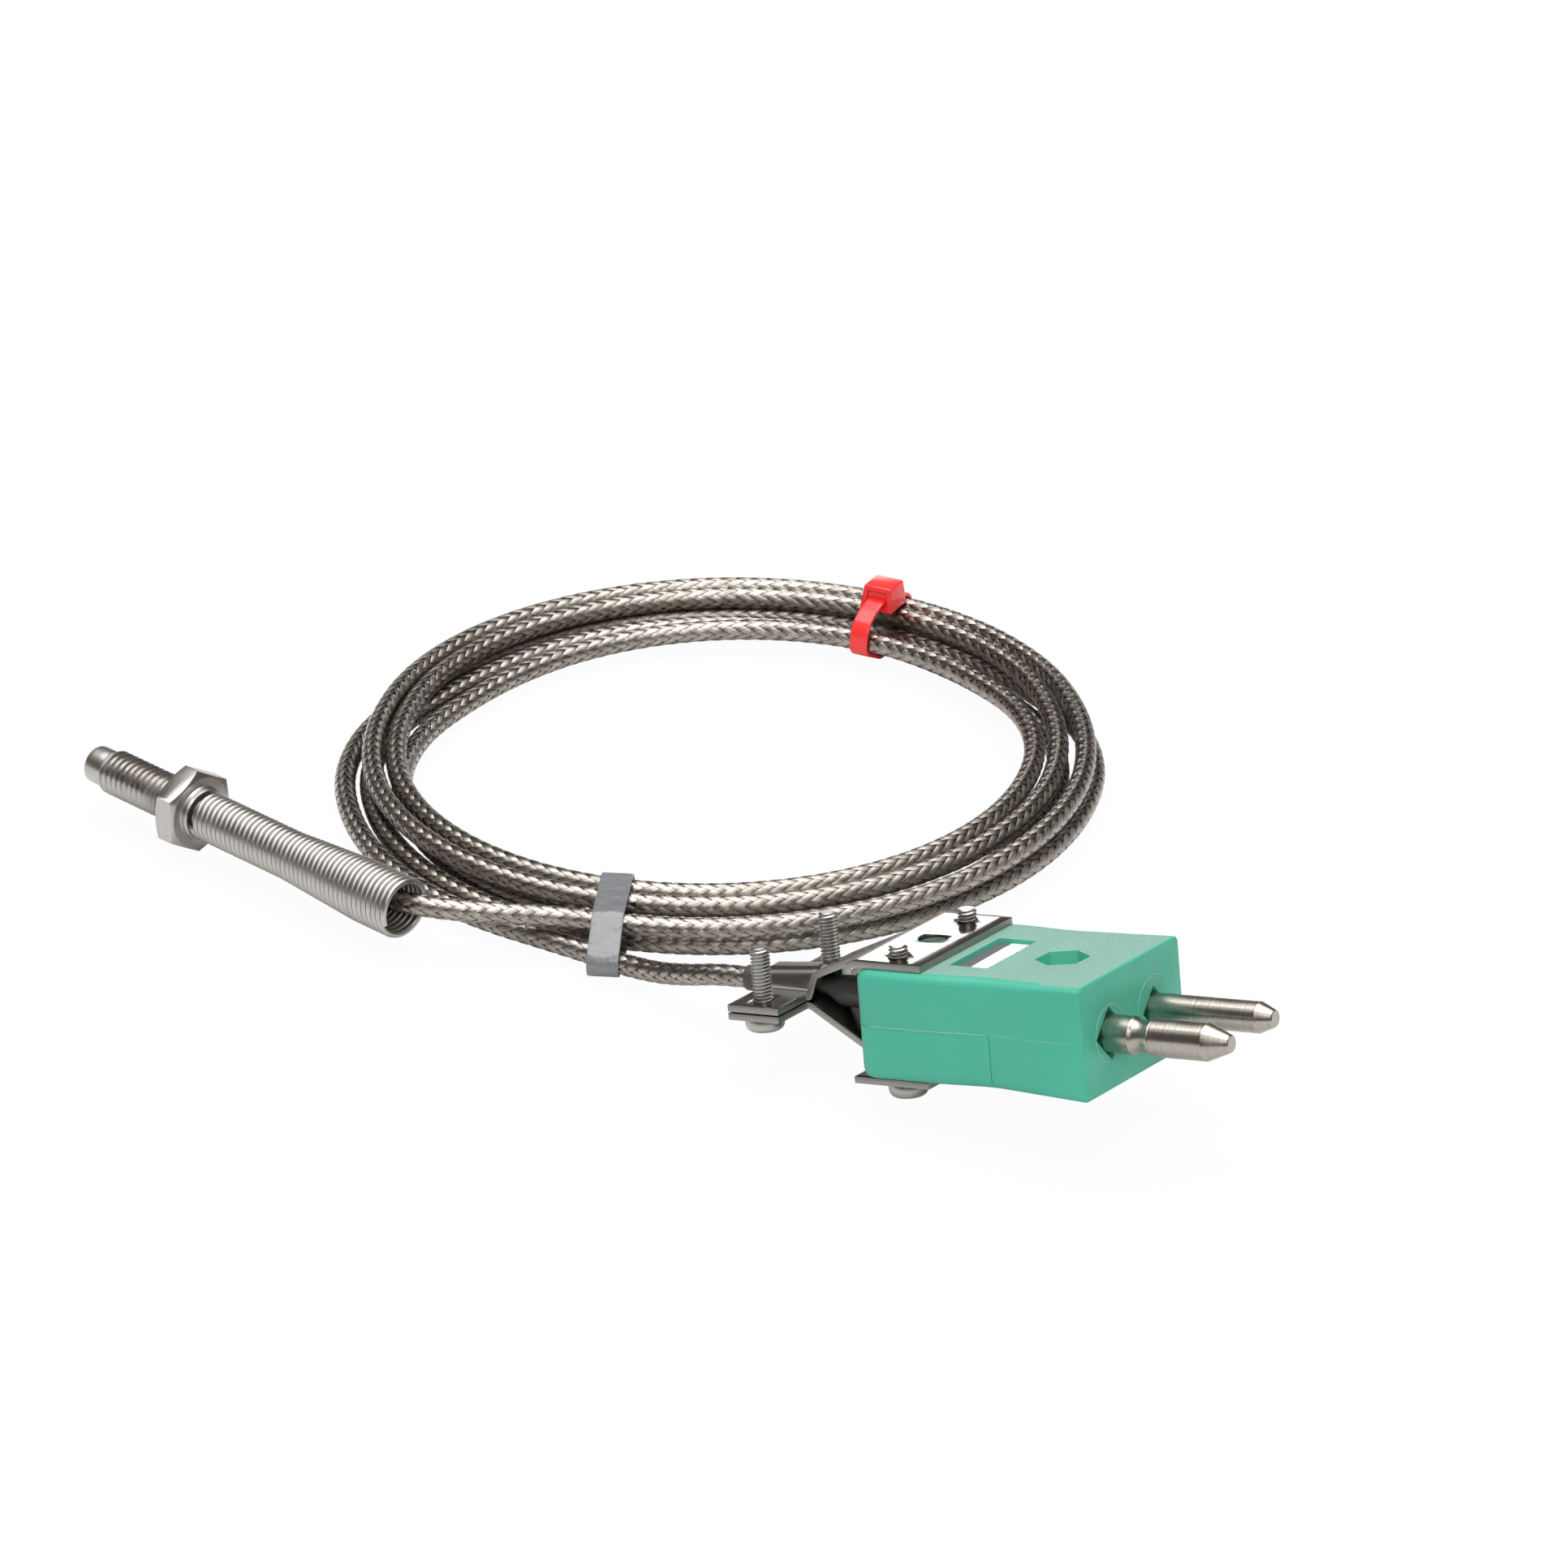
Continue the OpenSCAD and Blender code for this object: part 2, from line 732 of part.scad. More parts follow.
module plate_holes(r) {
    for (at = [body_screw, jaw_screw]) {
        for (side = [-1, 1]) {
            upright(at[0], side * at[1], -plug_h, r, 2 * plug_h);
        }
    }
    upright(body_screw[0], 0, -plug_h, 1.8, 2 * plug_h);
}

module hat_section() {
    polygon([
        [-plate_w / 2, 0], [-plate_w / 2, plate_t],
        [-hat_foot_w / 2 - plate_t, plate_t], [-hat_top_w / 2 - plate_t, hat_z + plate_t],
        [hat_top_w / 2 + plate_t, hat_z + plate_t], [hat_foot_w / 2 + plate_t, plate_t],
        [plate_w / 2, plate_t], [plate_w / 2, 0],
        [hat_foot_w / 2, 0], [hat_top_w / 2, hat_z],
        [-hat_top_w / 2, hat_z], [-hat_foot_w / 2, 0]
    ]);
}

module upper_clamp_plate() {
    color(steel)
    in_plug()
    difference() {
        union() {
            plate_flat(top_z);
            plate_neck(top_z, hat_z);
            translate([jaw_x[0], 0, 0])
            rotate([90, 0, 90])
            linear_extrude(jaw_x[1] - jaw_x[0])
            hat_section();
        }
        plate_holes(screw_d / 2 + 0.05);
    }
}

module lower_clamp_plate() {
    color(steel)
    in_plug()
    difference() {
        union() {
            plate_flat(-top_z - plate_t);
            plate_neck(-top_z - plate_t, low_jaw_z - plate_t);
            translate([jaw_x[0], -plate_w / 2, low_jaw_z - plate_t])
            cube([jaw_x[1] - jaw_x[0], plate_w, plate_t]);
        }
        plate_holes(screw_d / 2 + 0.15);
    }
}

module cable_sleeve() {
    color([0.16, 0.15, 0.15])
    in_plug() {
        lengthways(sleeve_x[0], 0, sleeve_z, sleeve_end_d / 2, sleeve_flat_x[0] - sleeve_x[0]);
        translate([sleeve_flat_x[0] - eps, 0, sleeve_z])
        rotate([90, 0, 90])
        linear_extrude(sleeve_flat_x[1] - sleeve_flat_x[0] + 2 * eps)
        scale([sleeve_flat_w, sleeve_flat])
        circle(d = 1, $fn = 40);
        lengthways(sleeve_flat_x[1], 0, sleeve_free_z, sleeve_free_d / 2, sleeve_x[1] - sleeve_flat_x[1]);
    }
}

module core(side) {
    path = concat(
        [[sleeve_x[1], side * core_mid[0][1], sleeve_free_z]],
        [for (p = core_mid) [p[0], side * p[1], p[2]]],
        [[split_x - 1, side * core_y, core_z]]
    );
    color(copper_alloy)
    in_plug()
    tube(path, all_up(path), core_r, 8);
}

module positive_core() {
    core(1);
}

module negative_core() {
    core(-1);
}

probe_bolt();
thermo_junction();
cement_fill();
positive_element();
negative_element();
strain_spring();
cable_probe_lead();
cable_coil();
cable_plug_lead();
red_cable_tie();
grey_marker_band();
plug_housing();
plug_cover();
positive_pin();
negative_pin();
positive_terminal_screw();
negative_terminal_screw();
positive_pressure_washer();
negative_pressure_washer();
upper_clamp_plate();
lower_clamp_plate();
near_jaw_screw();
far_jaw_screw();
near_body_screw();
far_body_screw();
cable_sleeve();
label_plate();
positive_core();
negative_core();
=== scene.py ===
"""Bolt thermocouple: a threaded probe, a coiled braided cable and a two pin plug, on a white stage."""
from math import atan2, ceil, copysign, cos, hypot, pi, radians, sin, sqrt

import bmesh
import bpy
import numpy as np
from mathutils import Matrix, Vector


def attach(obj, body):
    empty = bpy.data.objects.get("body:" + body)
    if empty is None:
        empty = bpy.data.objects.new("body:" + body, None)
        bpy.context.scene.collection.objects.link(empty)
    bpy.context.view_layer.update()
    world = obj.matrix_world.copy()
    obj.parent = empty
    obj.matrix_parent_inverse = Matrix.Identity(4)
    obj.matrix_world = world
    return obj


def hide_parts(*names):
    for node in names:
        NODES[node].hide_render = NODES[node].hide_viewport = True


bl_info = {
    "name": "Bolt Thermocouple",
    "version": (1, 0, 0),
    "blender": (4, 5, 0),
    "location": "View3D > Sidebar > Thermocouple",
    "description": "Builds the detailed pieces of a bolt thermocouple on its packed frame",
    "category": "Object",
}

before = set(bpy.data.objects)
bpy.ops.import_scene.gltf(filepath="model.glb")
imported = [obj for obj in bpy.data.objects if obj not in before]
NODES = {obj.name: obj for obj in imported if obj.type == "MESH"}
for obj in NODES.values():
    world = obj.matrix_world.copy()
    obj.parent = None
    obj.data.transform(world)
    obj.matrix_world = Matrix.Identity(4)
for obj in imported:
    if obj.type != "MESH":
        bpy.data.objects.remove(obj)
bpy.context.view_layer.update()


def rotation(deg, axis, size=4):
    """Turn by degrees about an axis."""
    return Matrix.Rotation(radians(deg), size, axis)


# Pieces are modelled in millimetres in a frame of their own, then placed by one of these
MM = Matrix.Scale(0.001, 4)
AXIS_Z = 10 / sqrt(3)
PROBE = MM @ Matrix.Translation((0, 0, AXIS_Z))
PLUG_AT = Vector((127.4, 29.7, 15.9165))
PLUG_TURN = rotation(15, "Z") @ rotation(-10, "Y") @ rotation(-8, "X")
PLUG = MM @ Matrix.Translation(PLUG_AT) @ PLUG_TURN
AHEAD, ACROSS, UPWARD = (PLUG_TURN.to_3x3() @ Vector(way) for way in ((1, 0, 0), (0, 1, 0), (0, 0, 1)))
UPRIGHT = rotation(-90, "Y")
TO_X = (pi / 2, 0, pi / 2)

# Route of the cable: the solids' own, with upper turns a little lower and lower ones further out behind
COIL_AT = (24, 61.5)
COIL_R = 50.5
COIL_OVAL = 1.2
COIL_FROM = -60
COIL_TURNS = 1784 / 360
COIL_MID = COIL_TURNS / 2
POINTS_A_TURN = 24
TURN_PITCH = 3.12
LOW_Z = 2.05
BAND_DEG = -61
BAND_TURN = -51
BAND_R = 50
BAND_W = 4.1
TIE_DEG = 107
TIE_REACH = 13
TIE_R = 45
TIE_W = 2.6
FRONT_DEG = -45
UPPER_BACK = 2.6
UPPER_SAG = 0.27
LOWER_TUCK = 3.4
LAST_LOOSE = 1.7
FRONT_BULGE = 1
CABLE_R = 1.4
STEPS_A_LAY = 36
BRAID_PARTS = 4
PROBE_LEAD = [
    (-3, 0, AXIS_Z), (1, 0, AXIS_Z), (5, 0, AXIS_Z), (12, 0, AXIS_Z), (18, 0.1, 5.8), (23, 0.35, 5.9),
    (27, 0.8, 6.05), (30.5, 1.8, 6.1), (33.5, 3.6, 6), (36.5, 6.2, 5.8), (39.5, 9.1, 5.5), (42.4, 11.8, 5.3),
]
PLUG_LEAD = [
    (44.6, 12.25, 2.05), (50.3, 13.25, 2.1), (56, 13.75, 2.45), (61.4, 13.9, 3.45), (66.2, 13.9, 4.95),
]

# Places on the plug: x to the pins from its front face, z up
PLATE_T = 0.9
TOP_Z = 6.97
SPLIT_X = -13.4
SLEEVE_END = -54.8
SLEEVE_Z = 0.8
SLEEVE_FREE_Z = 0.2
SLEEVE_RUN = 25
SLEEVE_CUT = SLEEVE_RUN - 2
LOW_JAW_Z = SLEEVE_Z - 1.07
HAT_Z = SLEEVE_Z + 1.1
PIN_Y = 5.55
PIN_Z = -0.45
PIN_END = 16.8
BODY_SCREW = (-27.5, 8.4)
JAW_SCREW = (-47.7, 8.2)


def length_of(name, text, value):
    """A length for the panel, in metres."""
    return bpy.props.FloatProperty(name=name, description=text, default=value, unit="LENGTH")


def colour_of(name, text, *value):
    """A colour for the panel."""
    return bpy.props.FloatVectorProperty(name=name, description=text, default=value, subtype="COLOR")


class ProbeLook(bpy.types.PropertyGroup):
    """Sizes and colour of the threaded probe and its spring."""

    thread_d: length_of("Thread", "Outer diameter of the thread", 0.006)
    thread_pitch: length_of("Thread pitch", "Distance between two crests", 0.001)
    hex_af: length_of("Hexagon", "Width across the flats", 0.01)
    wire_d: length_of("Spring wire", "Diameter of the spring's wire", 0.00086)
    curls: bpy.props.IntProperty(name="Curls", description="Number of curls of the spring", default=42)
    steel: colour_of("Steel", "Colour of the bolt and the spring", 0.5, 0.476, 0.447)


class CableLook(bpy.types.PropertyGroup):
    """Sizes and colours of the braided cable and its ties."""

    diameter: length_of("Diameter", "Diameter over the braid", 0.0028)
    lay: length_of("Lay", "Length in which a strip goes once round", 0.0164)
    strip_w: length_of("Strip", "Width of one braid strip", 0.00086)
    carriers: bpy.props.IntProperty(name="Carriers", description="Strips wound each way", default=8)
    braid: colour_of("Braid", "Colour of the braid wire", 0.335, 0.304, 0.27)
    tie: colour_of("Tie", "Colour of the cable tie", 0.77, 0.028, 0.027)
    band: colour_of("Band", "Colour of the marker band", 0.17, 0.174, 0.182)


class PlugLook(bpy.types.PropertyGroup):
    """Sizes and colours of the plug, its pins and its cable clamp."""

    length: length_of("Length", "Length of the body", 0.032)
    width: length_of("Width", "Width of the body", 0.025)
    height: length_of("Height", "Height of the body", 0.0139)
    edge: length_of("Edge", "Radius of the long edges", 0.0014)
    green: colour_of("Green", "Colour of the body", 0.046, 0.366, 0.249)
    pin: colour_of("Pin", "Colour of the pins", 0.41, 0.375, 0.33)
    plate: colour_of("Plate", "Colour of the clamp plates and screws", 0.35, 0.335, 0.315)
    sleeve: colour_of("Sleeve", "Colour of the cable sleeve", 0.056, 0.05, 0.047)


class StageLook(bpy.types.PropertyGroup):
    """Level of the studio's light."""

    key: bpy.props.FloatProperty(
        name="Key", description="Power of the overhead lamp", default=9, unit="POWER")
    fill: bpy.props.FloatProperty(
        name="Fill", description="Strength of the even light from all round", default=0.62)
    card: bpy.props.FloatProperty(
        name="Card", description="Brightness of the small card that the clamp plate mirrors", default=3.6)


# Helpers for modelling


def let_go():
    """Leave edit mode and deselect everything, so that an operator acts on the new piece alone."""
    if bpy.context.mode != "OBJECT":
        bpy.ops.object.mode_set(mode="OBJECT")
    bpy.ops.object.select_all(action="DESELECT")


def take(obj):
    """Make one piece the selected and active one."""
    let_go()
    obj.select_set(True)
    bpy.context.view_layer.objects.active = obj


def edit(obj):
    """Open one piece in edit mode."""
    take(obj)
    bpy.ops.object.mode_set(mode="EDIT")
    bpy.ops.mesh.select_mode(type="VERT")


def pick(obj, kind, test):
    """Select, in edit mode, the edges or faces that pass a test of their middle and themselves."""
    bpy.ops.mesh.select_mode(type=kind)
    bpy.ops.mesh.select_all(action="DESELECT")
    shape = bmesh.from_edit_mesh(obj.data)
    if kind == "EDGE":
        parts = [((edge.verts[0].co + edge.verts[1].co) / 2, edge) for edge in shape.edges]
    else:
        parts = [(face.calc_center_median(), face) for face in shape.faces]
    found = [part for middle, part in parts if test(middle, part)]
    if not found:
        raise RuntimeError(f"nothing to select on {obj.name}")
    for part in found:
        part.select_set(True)
    shape.select_flush_mode()
    bmesh.update_edit_mesh(obj.data)


def everything():
    """Select all, in edit mode."""
    bpy.ops.mesh.select_all(action="SELECT")


def mend():
    """Merge doubles and turn the faces outwards, in edit mode."""
    everything()
    bpy.ops.mesh.remove_doubles(threshold=1e-4)
    bpy.ops.mesh.normals_make_consistent(inside=False)


def cut(x, way=(1, 0, 0), **settings):
    """Cut a piece in edit mode by a plane that is square to a way."""
    everything()
    bpy.ops.mesh.bisect(plane_co=(x, 0, 0), plane_no=way, **settings)


def draw_out(*way):
    """Extrude what is selected, in edit mode."""
    bpy.ops.mesh.extrude_region_move(TRANSFORM_OT_translate={"value": way})


def reshape(obj, rule):
    """Let a rule move each corner's place, in edit mode or out of it."""
    if obj.mode != "EDIT":
        for vert in obj.data.vertices:
            rule(vert.co)
        return
    shape = bmesh.from_edit_mesh(obj.data)
    for vert in shape.verts:
        rule(vert.co)
    bmesh.update_edit_mesh(obj.data)


def fixed(obj):
    """Put an object's place into its mesh."""
    take(obj)
    bpy.ops.object.transform_apply(location=True, rotation=True, scale=True)
    return obj


def made(kind, **settings):
    """A new primitive, with its place in its mesh."""
    let_go()
    getattr(bpy.ops.mesh, f"primitive_{kind}_add")(**settings)
    return fixed(bpy.context.object)


def work(obj, kind, **settings):
    """Add one modifier and apply it."""
    take(obj)
    step = obj.modifiers.new(kind.title(), kind)
    for key, value in settings.items():
        setattr(step, key, value)
    bpy.ops.object.modifier_apply(modifier=step.name)


def wind(obj, pitch, steps, turns, **settings):
    """Wind a profile round +X."""
    work(obj, "SCREW", axis="X", angle=2 * pi, steps=steps, render_steps=steps, screw_offset=pitch,
         iterations=turns, **settings)


def carve(obj, tool, operation="DIFFERENCE"):
    """Cut a piece with another, which is used up."""
    work(obj, "BOOLEAN", object=tool, operation=operation, solver="EXACT")
    bpy.data.objects.remove(tool)


def join(first, *others):
    """Make one piece of several."""
    take(first)
    for other in others:
        other.select_set(True)
    bpy.ops.object.join()
    return first


def twin(obj):
    """Copy of a piece with a mesh of its own."""
    copy = obj.copy()
    copy.data = obj.data.copy()
    bpy.context.scene.collection.objects.link(copy)
    return copy


def block(low, high):
    """A box between two corners, as a tool or a start."""
    size = [b - a for a, b in zip(low, high)]
    return made("cube", size=1, location=[(a + b) / 2 for a, b in zip(low, high)], scale=size)


def peg(x, y, low, high, r, sides=32, turn=0):
    """An upright round or hexagonal peg, as a tool."""
    return made("cylinder", vertices=sides, radius=r, depth=high - low, location=(x, y, (low + high) / 2),
                rotation=(0, 0, radians(turn)))


def turned(profile, sides=64):
    """A round bar along +X: a disc that is drawn out, widened and narrowed step by step."""
    x, r = profile[0]
    obj = made("circle", vertices=sides, radius=r, fill_type="NGON", location=(x, 0, 0), rotation=TO_X)
    edit(obj)
    everything()
    for next_x, next_r in profile[1:]:
        draw_out(next_x - x, 0, 0)
        if next_r != r:
            bpy.ops.transform.resize(value=(1, next_r / r, next_r / r), center_override=(next_x, 0, 0))
        x, r = next_x, next_r
    mend()
    let_go()
    return obj


def ring(corners):
    """A ring of edges through given corners, left in edit mode."""
    obj = made("circle", vertices=len(corners), radius=1, fill_type="NOTHING")
    edit(obj)
    shape = bmesh.from_edit_mesh(obj.data)
    shape.verts.ensure_lookup_table()
    for vert, corner in zip(shape.verts, corners):
        vert.co = corner
    bmesh.update_edit_mesh(obj.data)
    return obj


def threaded(start, end, root_r, crest_r, pitch, bevel, sides=32):
    """A threaded bar along +X: the edge of one tooth is wound by a Screw modifier, then cut square."""
    mid_r = root_r + 0.75 * (crest_r - root_r)
    tooth = ((0, root_r), (0.1, root_r), (0.36, mid_r), (0.46, crest_r), (0.56, crest_r), (0.66, mid_r),
             (0.92, root_r), (1, root_r))
    obj = ring([(share * pitch, 0, r) for share, r in tooth])
    pick(obj, "EDGE", lambda m, e: abs(e.verts[0].index - e.verts[1].index) > 1)
    bpy.ops.mesh.delete(type="EDGE")
    let_go()
    wind(obj, pitch, sides, ceil((end - start) / pitch) + 3, use_merge_vertices=True, merge_threshold=1e-4)
    obj.data.transform(Matrix.Translation((start - 1.5 * pitch, 0, 0)))
    edit(obj)
    mend()
    cut(start, use_fill=True, clear_inner=True, clear_outer=False)
    cut(end, use_fill=True, clear_inner=False, clear_outer=True)

    def bevelled(co):
        room = min(co.x - start, end - co.x)
        limit = crest_r - max(0, bevel - room)
        r = hypot(co.y, co.z)
        if r > limit:
            co.y *= limit / r
            co.z *= limit / r

    reshape(obj, bevelled)
    mend()
    let_go()
    return obj


def soften(obj, width, angle=35, segments=2):
    """Take the sharpness off a piece's edges."""
    work(obj, "BEVEL", width=width, segments=segments, limit_method="ANGLE", angle_limit=radians(angle),
         use_clamp_overlap=True)


def set_down(obj, name, place, body, slot, material, *nodes, angle=32):
    """Place a finished piece, which stays at the origin, name it, hang it on its body and hide the frame's
    pieces that it stands for.
    """
    obj.data.transform(place)
    obj.name = name
    obj.data.name = name
    take(obj)
    bpy.ops.object.shade_smooth_by_angle(angle=radians(angle))
    if material is not None:
        obj.data.materials.clear()
        obj.data.materials.append(material)
    obj.data.update()
    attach(obj, body)
    if nodes:
        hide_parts(*nodes)
    let_go()


# Effects that several materials share


def feed(tree, node, links):
    """Give a node's inputs, by name or number, sockets or plain values."""
    for key, value in links.items():
        if isinstance(value, bpy.types.NodeSocket):
            tree.links.new(value, node.inputs[key])
        else:
            node.inputs[key].default_value = value


def add(tree, kind, links, out=0, **settings):
    """Add a node with its settings and inputs; gives one of its outputs."""
    node = tree.nodes.new(kind)
    for key, value in settings.items():
        setattr(node, key, value)
    feed(tree, node, links)
    return node.outputs[out]


def calc(tree, operation, *values):
    """Reckon with one or two values."""
    return add(tree, "ShaderNodeMath", dict(enumerate(values)), operation=operation)


def group(name, outputs, **inputs):
    """A new node group: the names of its outputs, and its inputs with their defaults; gives both ends."""
    tree = bpy.data.node_groups.new(name, "ShaderNodeTree")
    for label, default in inputs.items():
        kind = "NodeSocketVector" if isinstance(default, tuple) else "NodeSocketFloat"
        tree.interface.new_socket(label, in_out="INPUT", socket_type=kind).default_value = default
    for label in outputs:
        kind = "NodeSocketVector" if label == "Normal" else "NodeSocketFloat"
        tree.interface.new_socket(label, in_out="OUTPUT", socket_type=kind)
    return tree, tree.nodes.new("NodeGroupInput").outputs, tree.nodes.new("NodeGroupOutput").inputs


def bumpy(tree, noise, start, end):
    """Close a group that gives a noise as a mask and as bumps."""
    bump = add(tree, "ShaderNodeBump", {"Height": noise, "Distance": start["Depth"], "Strength": 1})
    tree.links.new(noise, end["Mask"])
    tree.links.new(bump, end["Normal"])
    return tree


def grain_group(name):
    """Fine bumps: a mask and a normal, from a noise of a given size."""
    tree, start, end = group(name, ("Mask", "Normal"), Vector=(0, 0, 0), Size=1000, Depth=0.0001)
    noise = add(tree, "ShaderNodeTexNoise", {"Vector": start["Vector"], "Scale": start["Size"], "Detail": 3})
    return bumpy(tree, noise, start, end)


def smudge_group(name):
    """Soft patches between a low and a high value, for handled metal and plastic."""
    tree, start, end = group(name, ("Value",), Vector=(0, 0, 0), Size=100, Low=0.2, High=0.4)
    noise = add(tree, "ShaderNodeTexNoise", {
        "Vector": start["Vector"], "Scale": start["Size"], "Detail": 4, "Roughness": 0.6})
    span = add(tree, "ShaderNodeMapRange", {
        "Value": noise, "From Min": 0.3, "From Max": 0.7, "To Min": start["Low"], "To Max": start["High"]})
    tree.links.new(span, end["Value"])
    return tree


def tool_mark_group(name):
    """Fine rings square to one axis, as a lathe or a die leaves them."""
    tree, start, end = group(
        name, ("Mask", "Normal"), Vector=(0, 0, 0), Axis=(1, 0, 0), Size=3000, Depth=0.00002)
    along = add(tree, "ShaderNodeVectorMath", {0: start["Vector"], 1: start["Axis"]}, "Value",
                operation="DOT_PRODUCT")
    noise = add(tree, "ShaderNodeTexNoise", {"W": along, "Scale": start["Size"], "Detail": 2},
                noise_dimensions="1D")
    return bumpy(tree, noise, start, end)


SHARED = {"Fine grain": grain_group, "Smudges": smudge_group, "Tool marks": tool_mark_group}


def use(tree, shared, **links):
    """Place a shared group in a material, made the first time it is asked for; gives its outputs."""
    node = tree.nodes.new("ShaderNodeGroup")
    node.node_tree = bpy.data.node_groups.get(shared) or SHARED[shared](shared)
    feed(tree, node, links)
    return node.outputs


def blank(name, colour, roughness, metallic=0.0):
    """A material with plain values on its shader; gives the material, its tree, shader and place."""
    known = bpy.data.materials.new(name)
    known.use_nodes = True
    tree = known.node_tree
    shader = tree.nodes["Principled BSDF"]
    feed(tree, shader, {"Base Color": (*colour, 1), "Roughness": roughness, "Metallic": metallic})
    return known, tree, shader, tree.nodes.new("ShaderNodeTexCoord").outputs["Object"]


def mixed(tree, mask, dark, light):
    """A colour between two, by a mask."""
    links = {"Factor": mask, 6: (*dark, 1), 7: (*light, 1)}
    return add(tree, "ShaderNodeMix", links, 2, data_type="RGBA")


def shade(colour, factor):
    """A colour made darker or lighter."""
    return tuple(min(1, c * factor) for c in colour)


def paled(colour, grey, share):
    """A colour drawn towards a grey."""
    return tuple(c + (grey - c) * share for c in colour)


def metal(name, colour, low, high, axis, mark=3000, depth=0.00002, patch=180):
    """Bare metal with tool marks square to an axis, and smudged gloss."""
    known, tree, shader, place = blank(name, colour, 0.3, 1.0)
    marks = use(tree, "Tool marks", Vector=place, Axis=axis, Size=mark, Depth=depth)
    gloss = use(tree, "Smudges", Vector=place, Size=patch, Low=low, High=high)
    tint = mixed(tree, marks["Mask"], shade(colour, 0.82), shade(colour, 1.12))
    feed(tree, shader, {"Base Color": tint, "Roughness": gloss["Value"], "Normal": marks["Normal"]})
    return known


def plastic(name, colour, low, high, size, depth, spread=0.1, coat=0.0):
    """Moulded plastic with fine grain, and patches in its colour and gloss."""
    known, tree, shader, place = blank(name, colour, 0.5)
    grain = use(tree, "Fine grain", Vector=place, Size=size, Depth=depth)
    gloss = use(tree, "Smudges", Vector=place, Size=220, Low=low, High=high)
    patches = use(tree, "Smudges", Vector=place, Size=90, Low=0, High=1)
    tint = mixed(tree, patches["Value"], shade(colour, 1 - spread), shade(colour, 1 + spread))
    feed(tree, shader, {"Base Color": tint, "Roughness": gloss["Value"], "Normal": grain["Normal"],
                        "Coat Weight": coat})
    return known


def grained_top(name, colour):
    """The plug's spark-finished top: fine greyish specks in the green."""
    known, tree, shader, place = blank(name, colour, 0.62)
    grain = use(tree, "Fine grain", Vector=place, Size=3600, Depth=0.00009)
    speck = add(tree, "ShaderNodeMapRange", {"Value": grain["Mask"], "From Min": 0.36, "From Max": 0.7})
    tint = mixed(tree, speck, paled(colour, 0.29, 0.36), paled(colour, 0.36, 0.66))
    feed(tree, shader, {"Base Color": tint, "Normal": grain["Normal"]})
    return known


def braid_wire(name, colour, wires=6):
    """Braid strip: a few bright wires side by side along its own map, with painted shade at the strip's edges
    and random lighter and darker patches.
    """
    known, tree, shader, place = blank(name, colour, 0.3, 1.0)
    u = add(tree, "ShaderNodeSeparateXYZ", {0: add(tree, "ShaderNodeUVMap", {}, "UV", uv_map="strip")}, "X")
    waves = calc(tree, "COSINE", calc(tree, "MULTIPLY", u, wires * 2 * pi))
    bump = add(tree, "ShaderNodeBump", {"Height": waves, "Distance": 0.00002, "Strength": 0.3})
    # The strip's edges take a dark copy of the colour: painted shade where the strips meet
    edge = calc(tree, "ABSOLUTE", calc(tree, "SUBTRACT", u, 0.5))
    rim = add(tree, "ShaderNodeMapRange", {
        "Value": edge, "From Min": 0.39, "From Max": 0.5, "To Min": 1, "To Max": 0})
    tone = use(tree, "Smudges", Vector=place, Size=760, Low=0.42, High=1.16)
    mask = calc(tree, "MULTIPLY", rim, tone["Value"])
    gloss = use(tree, "Smudges", Vector=place, Size=620, Low=0.2, High=0.4)
    lie = add(tree, "ShaderNodeTangent", {}, direction_type="UV_MAP", uv_map="strip")
    feed(tree, shader, {
        "Base Color": mixed(tree, mask, shade(colour, 0.3), shade(colour, 1.3)),
        "Roughness": gloss["Value"], "Normal": bump, "Tangent": lie, "Anisotropic": 0.75,
    })
    return known


# The cable's route and braid


def ease(f):
    """Soft step from 0 to 1."""
    f = min(1, max(0, f))
    return f * f * (3 - 2 * f)


def coil_angle(t):
    """Direction from the coil's middle after t turns."""
    return radians(COIL_FROM + 360 * t)


def behind(t):
    """1 at the back of the coil, 0 at its front."""
    return ease((-cos(coil_angle(t) - radians(FRONT_DEG)) - 0.05) / 0.65)


def coil_radius(t):
    """How far the cable lies from the coil's middle after t turns; turns cross at the coil's two sides."""
    a = coil_angle(t)
    side, front = sin(a - radians(FRONT_DEG)), cos(a - radians(FRONT_DEG))
    low = ease(2 * (t - COIL_MID) + 0.5)
    back = UPPER_BACK * (1 - 0.5 * side * side) * (1 - behind(t))
    tuck = LOWER_TUCK * behind(t)
    shift = back * ease(2 * t) * (1 - low) + tuck * low
    shift += ease((0.5 - abs(t - COIL_MID)) * 4) * (back + tuck - shift)
    bulge = LAST_LOOSE * side * side * (1 + 0.8 * side) / 2 * ease((t - 3.9) / 0.3)
    bulge += FRONT_BULGE * max(0, front) ** 2 * ease(2 * (t - COIL_MID) - 0.5)
    oval = COIL_OVAL * cos(2 * (a - radians(BAND_DEG)))
    return COIL_R + oval - TURN_PITCH * (COIL_MID - abs(t - COIL_MID)) - shift + bulge


def coil_point(t):
    """Middle of the cable after t turns of the coil, in millimetres."""
    a = coil_angle(t)
    r = coil_radius(t)
    rise = 0.2 * (COIL_MID - abs(t - COIL_MID)) * (1 + cos(a + radians(30))) / 2
    upper = 1 - ease(2 * (t - COIL_MID) + 0.5)
    z = LOW_Z + (TURN_PITCH + rise - UPPER_SAG * behind(t)) * upper
    return Vector((COIL_AT[0] + r * cos(a), COIL_AT[1] + r * sin(a), z))


def coil_heading(t):
    """Direction of the cable after t turns."""
    return (coil_point(t + 0.001) - coil_point(t - 0.001)).normalized()


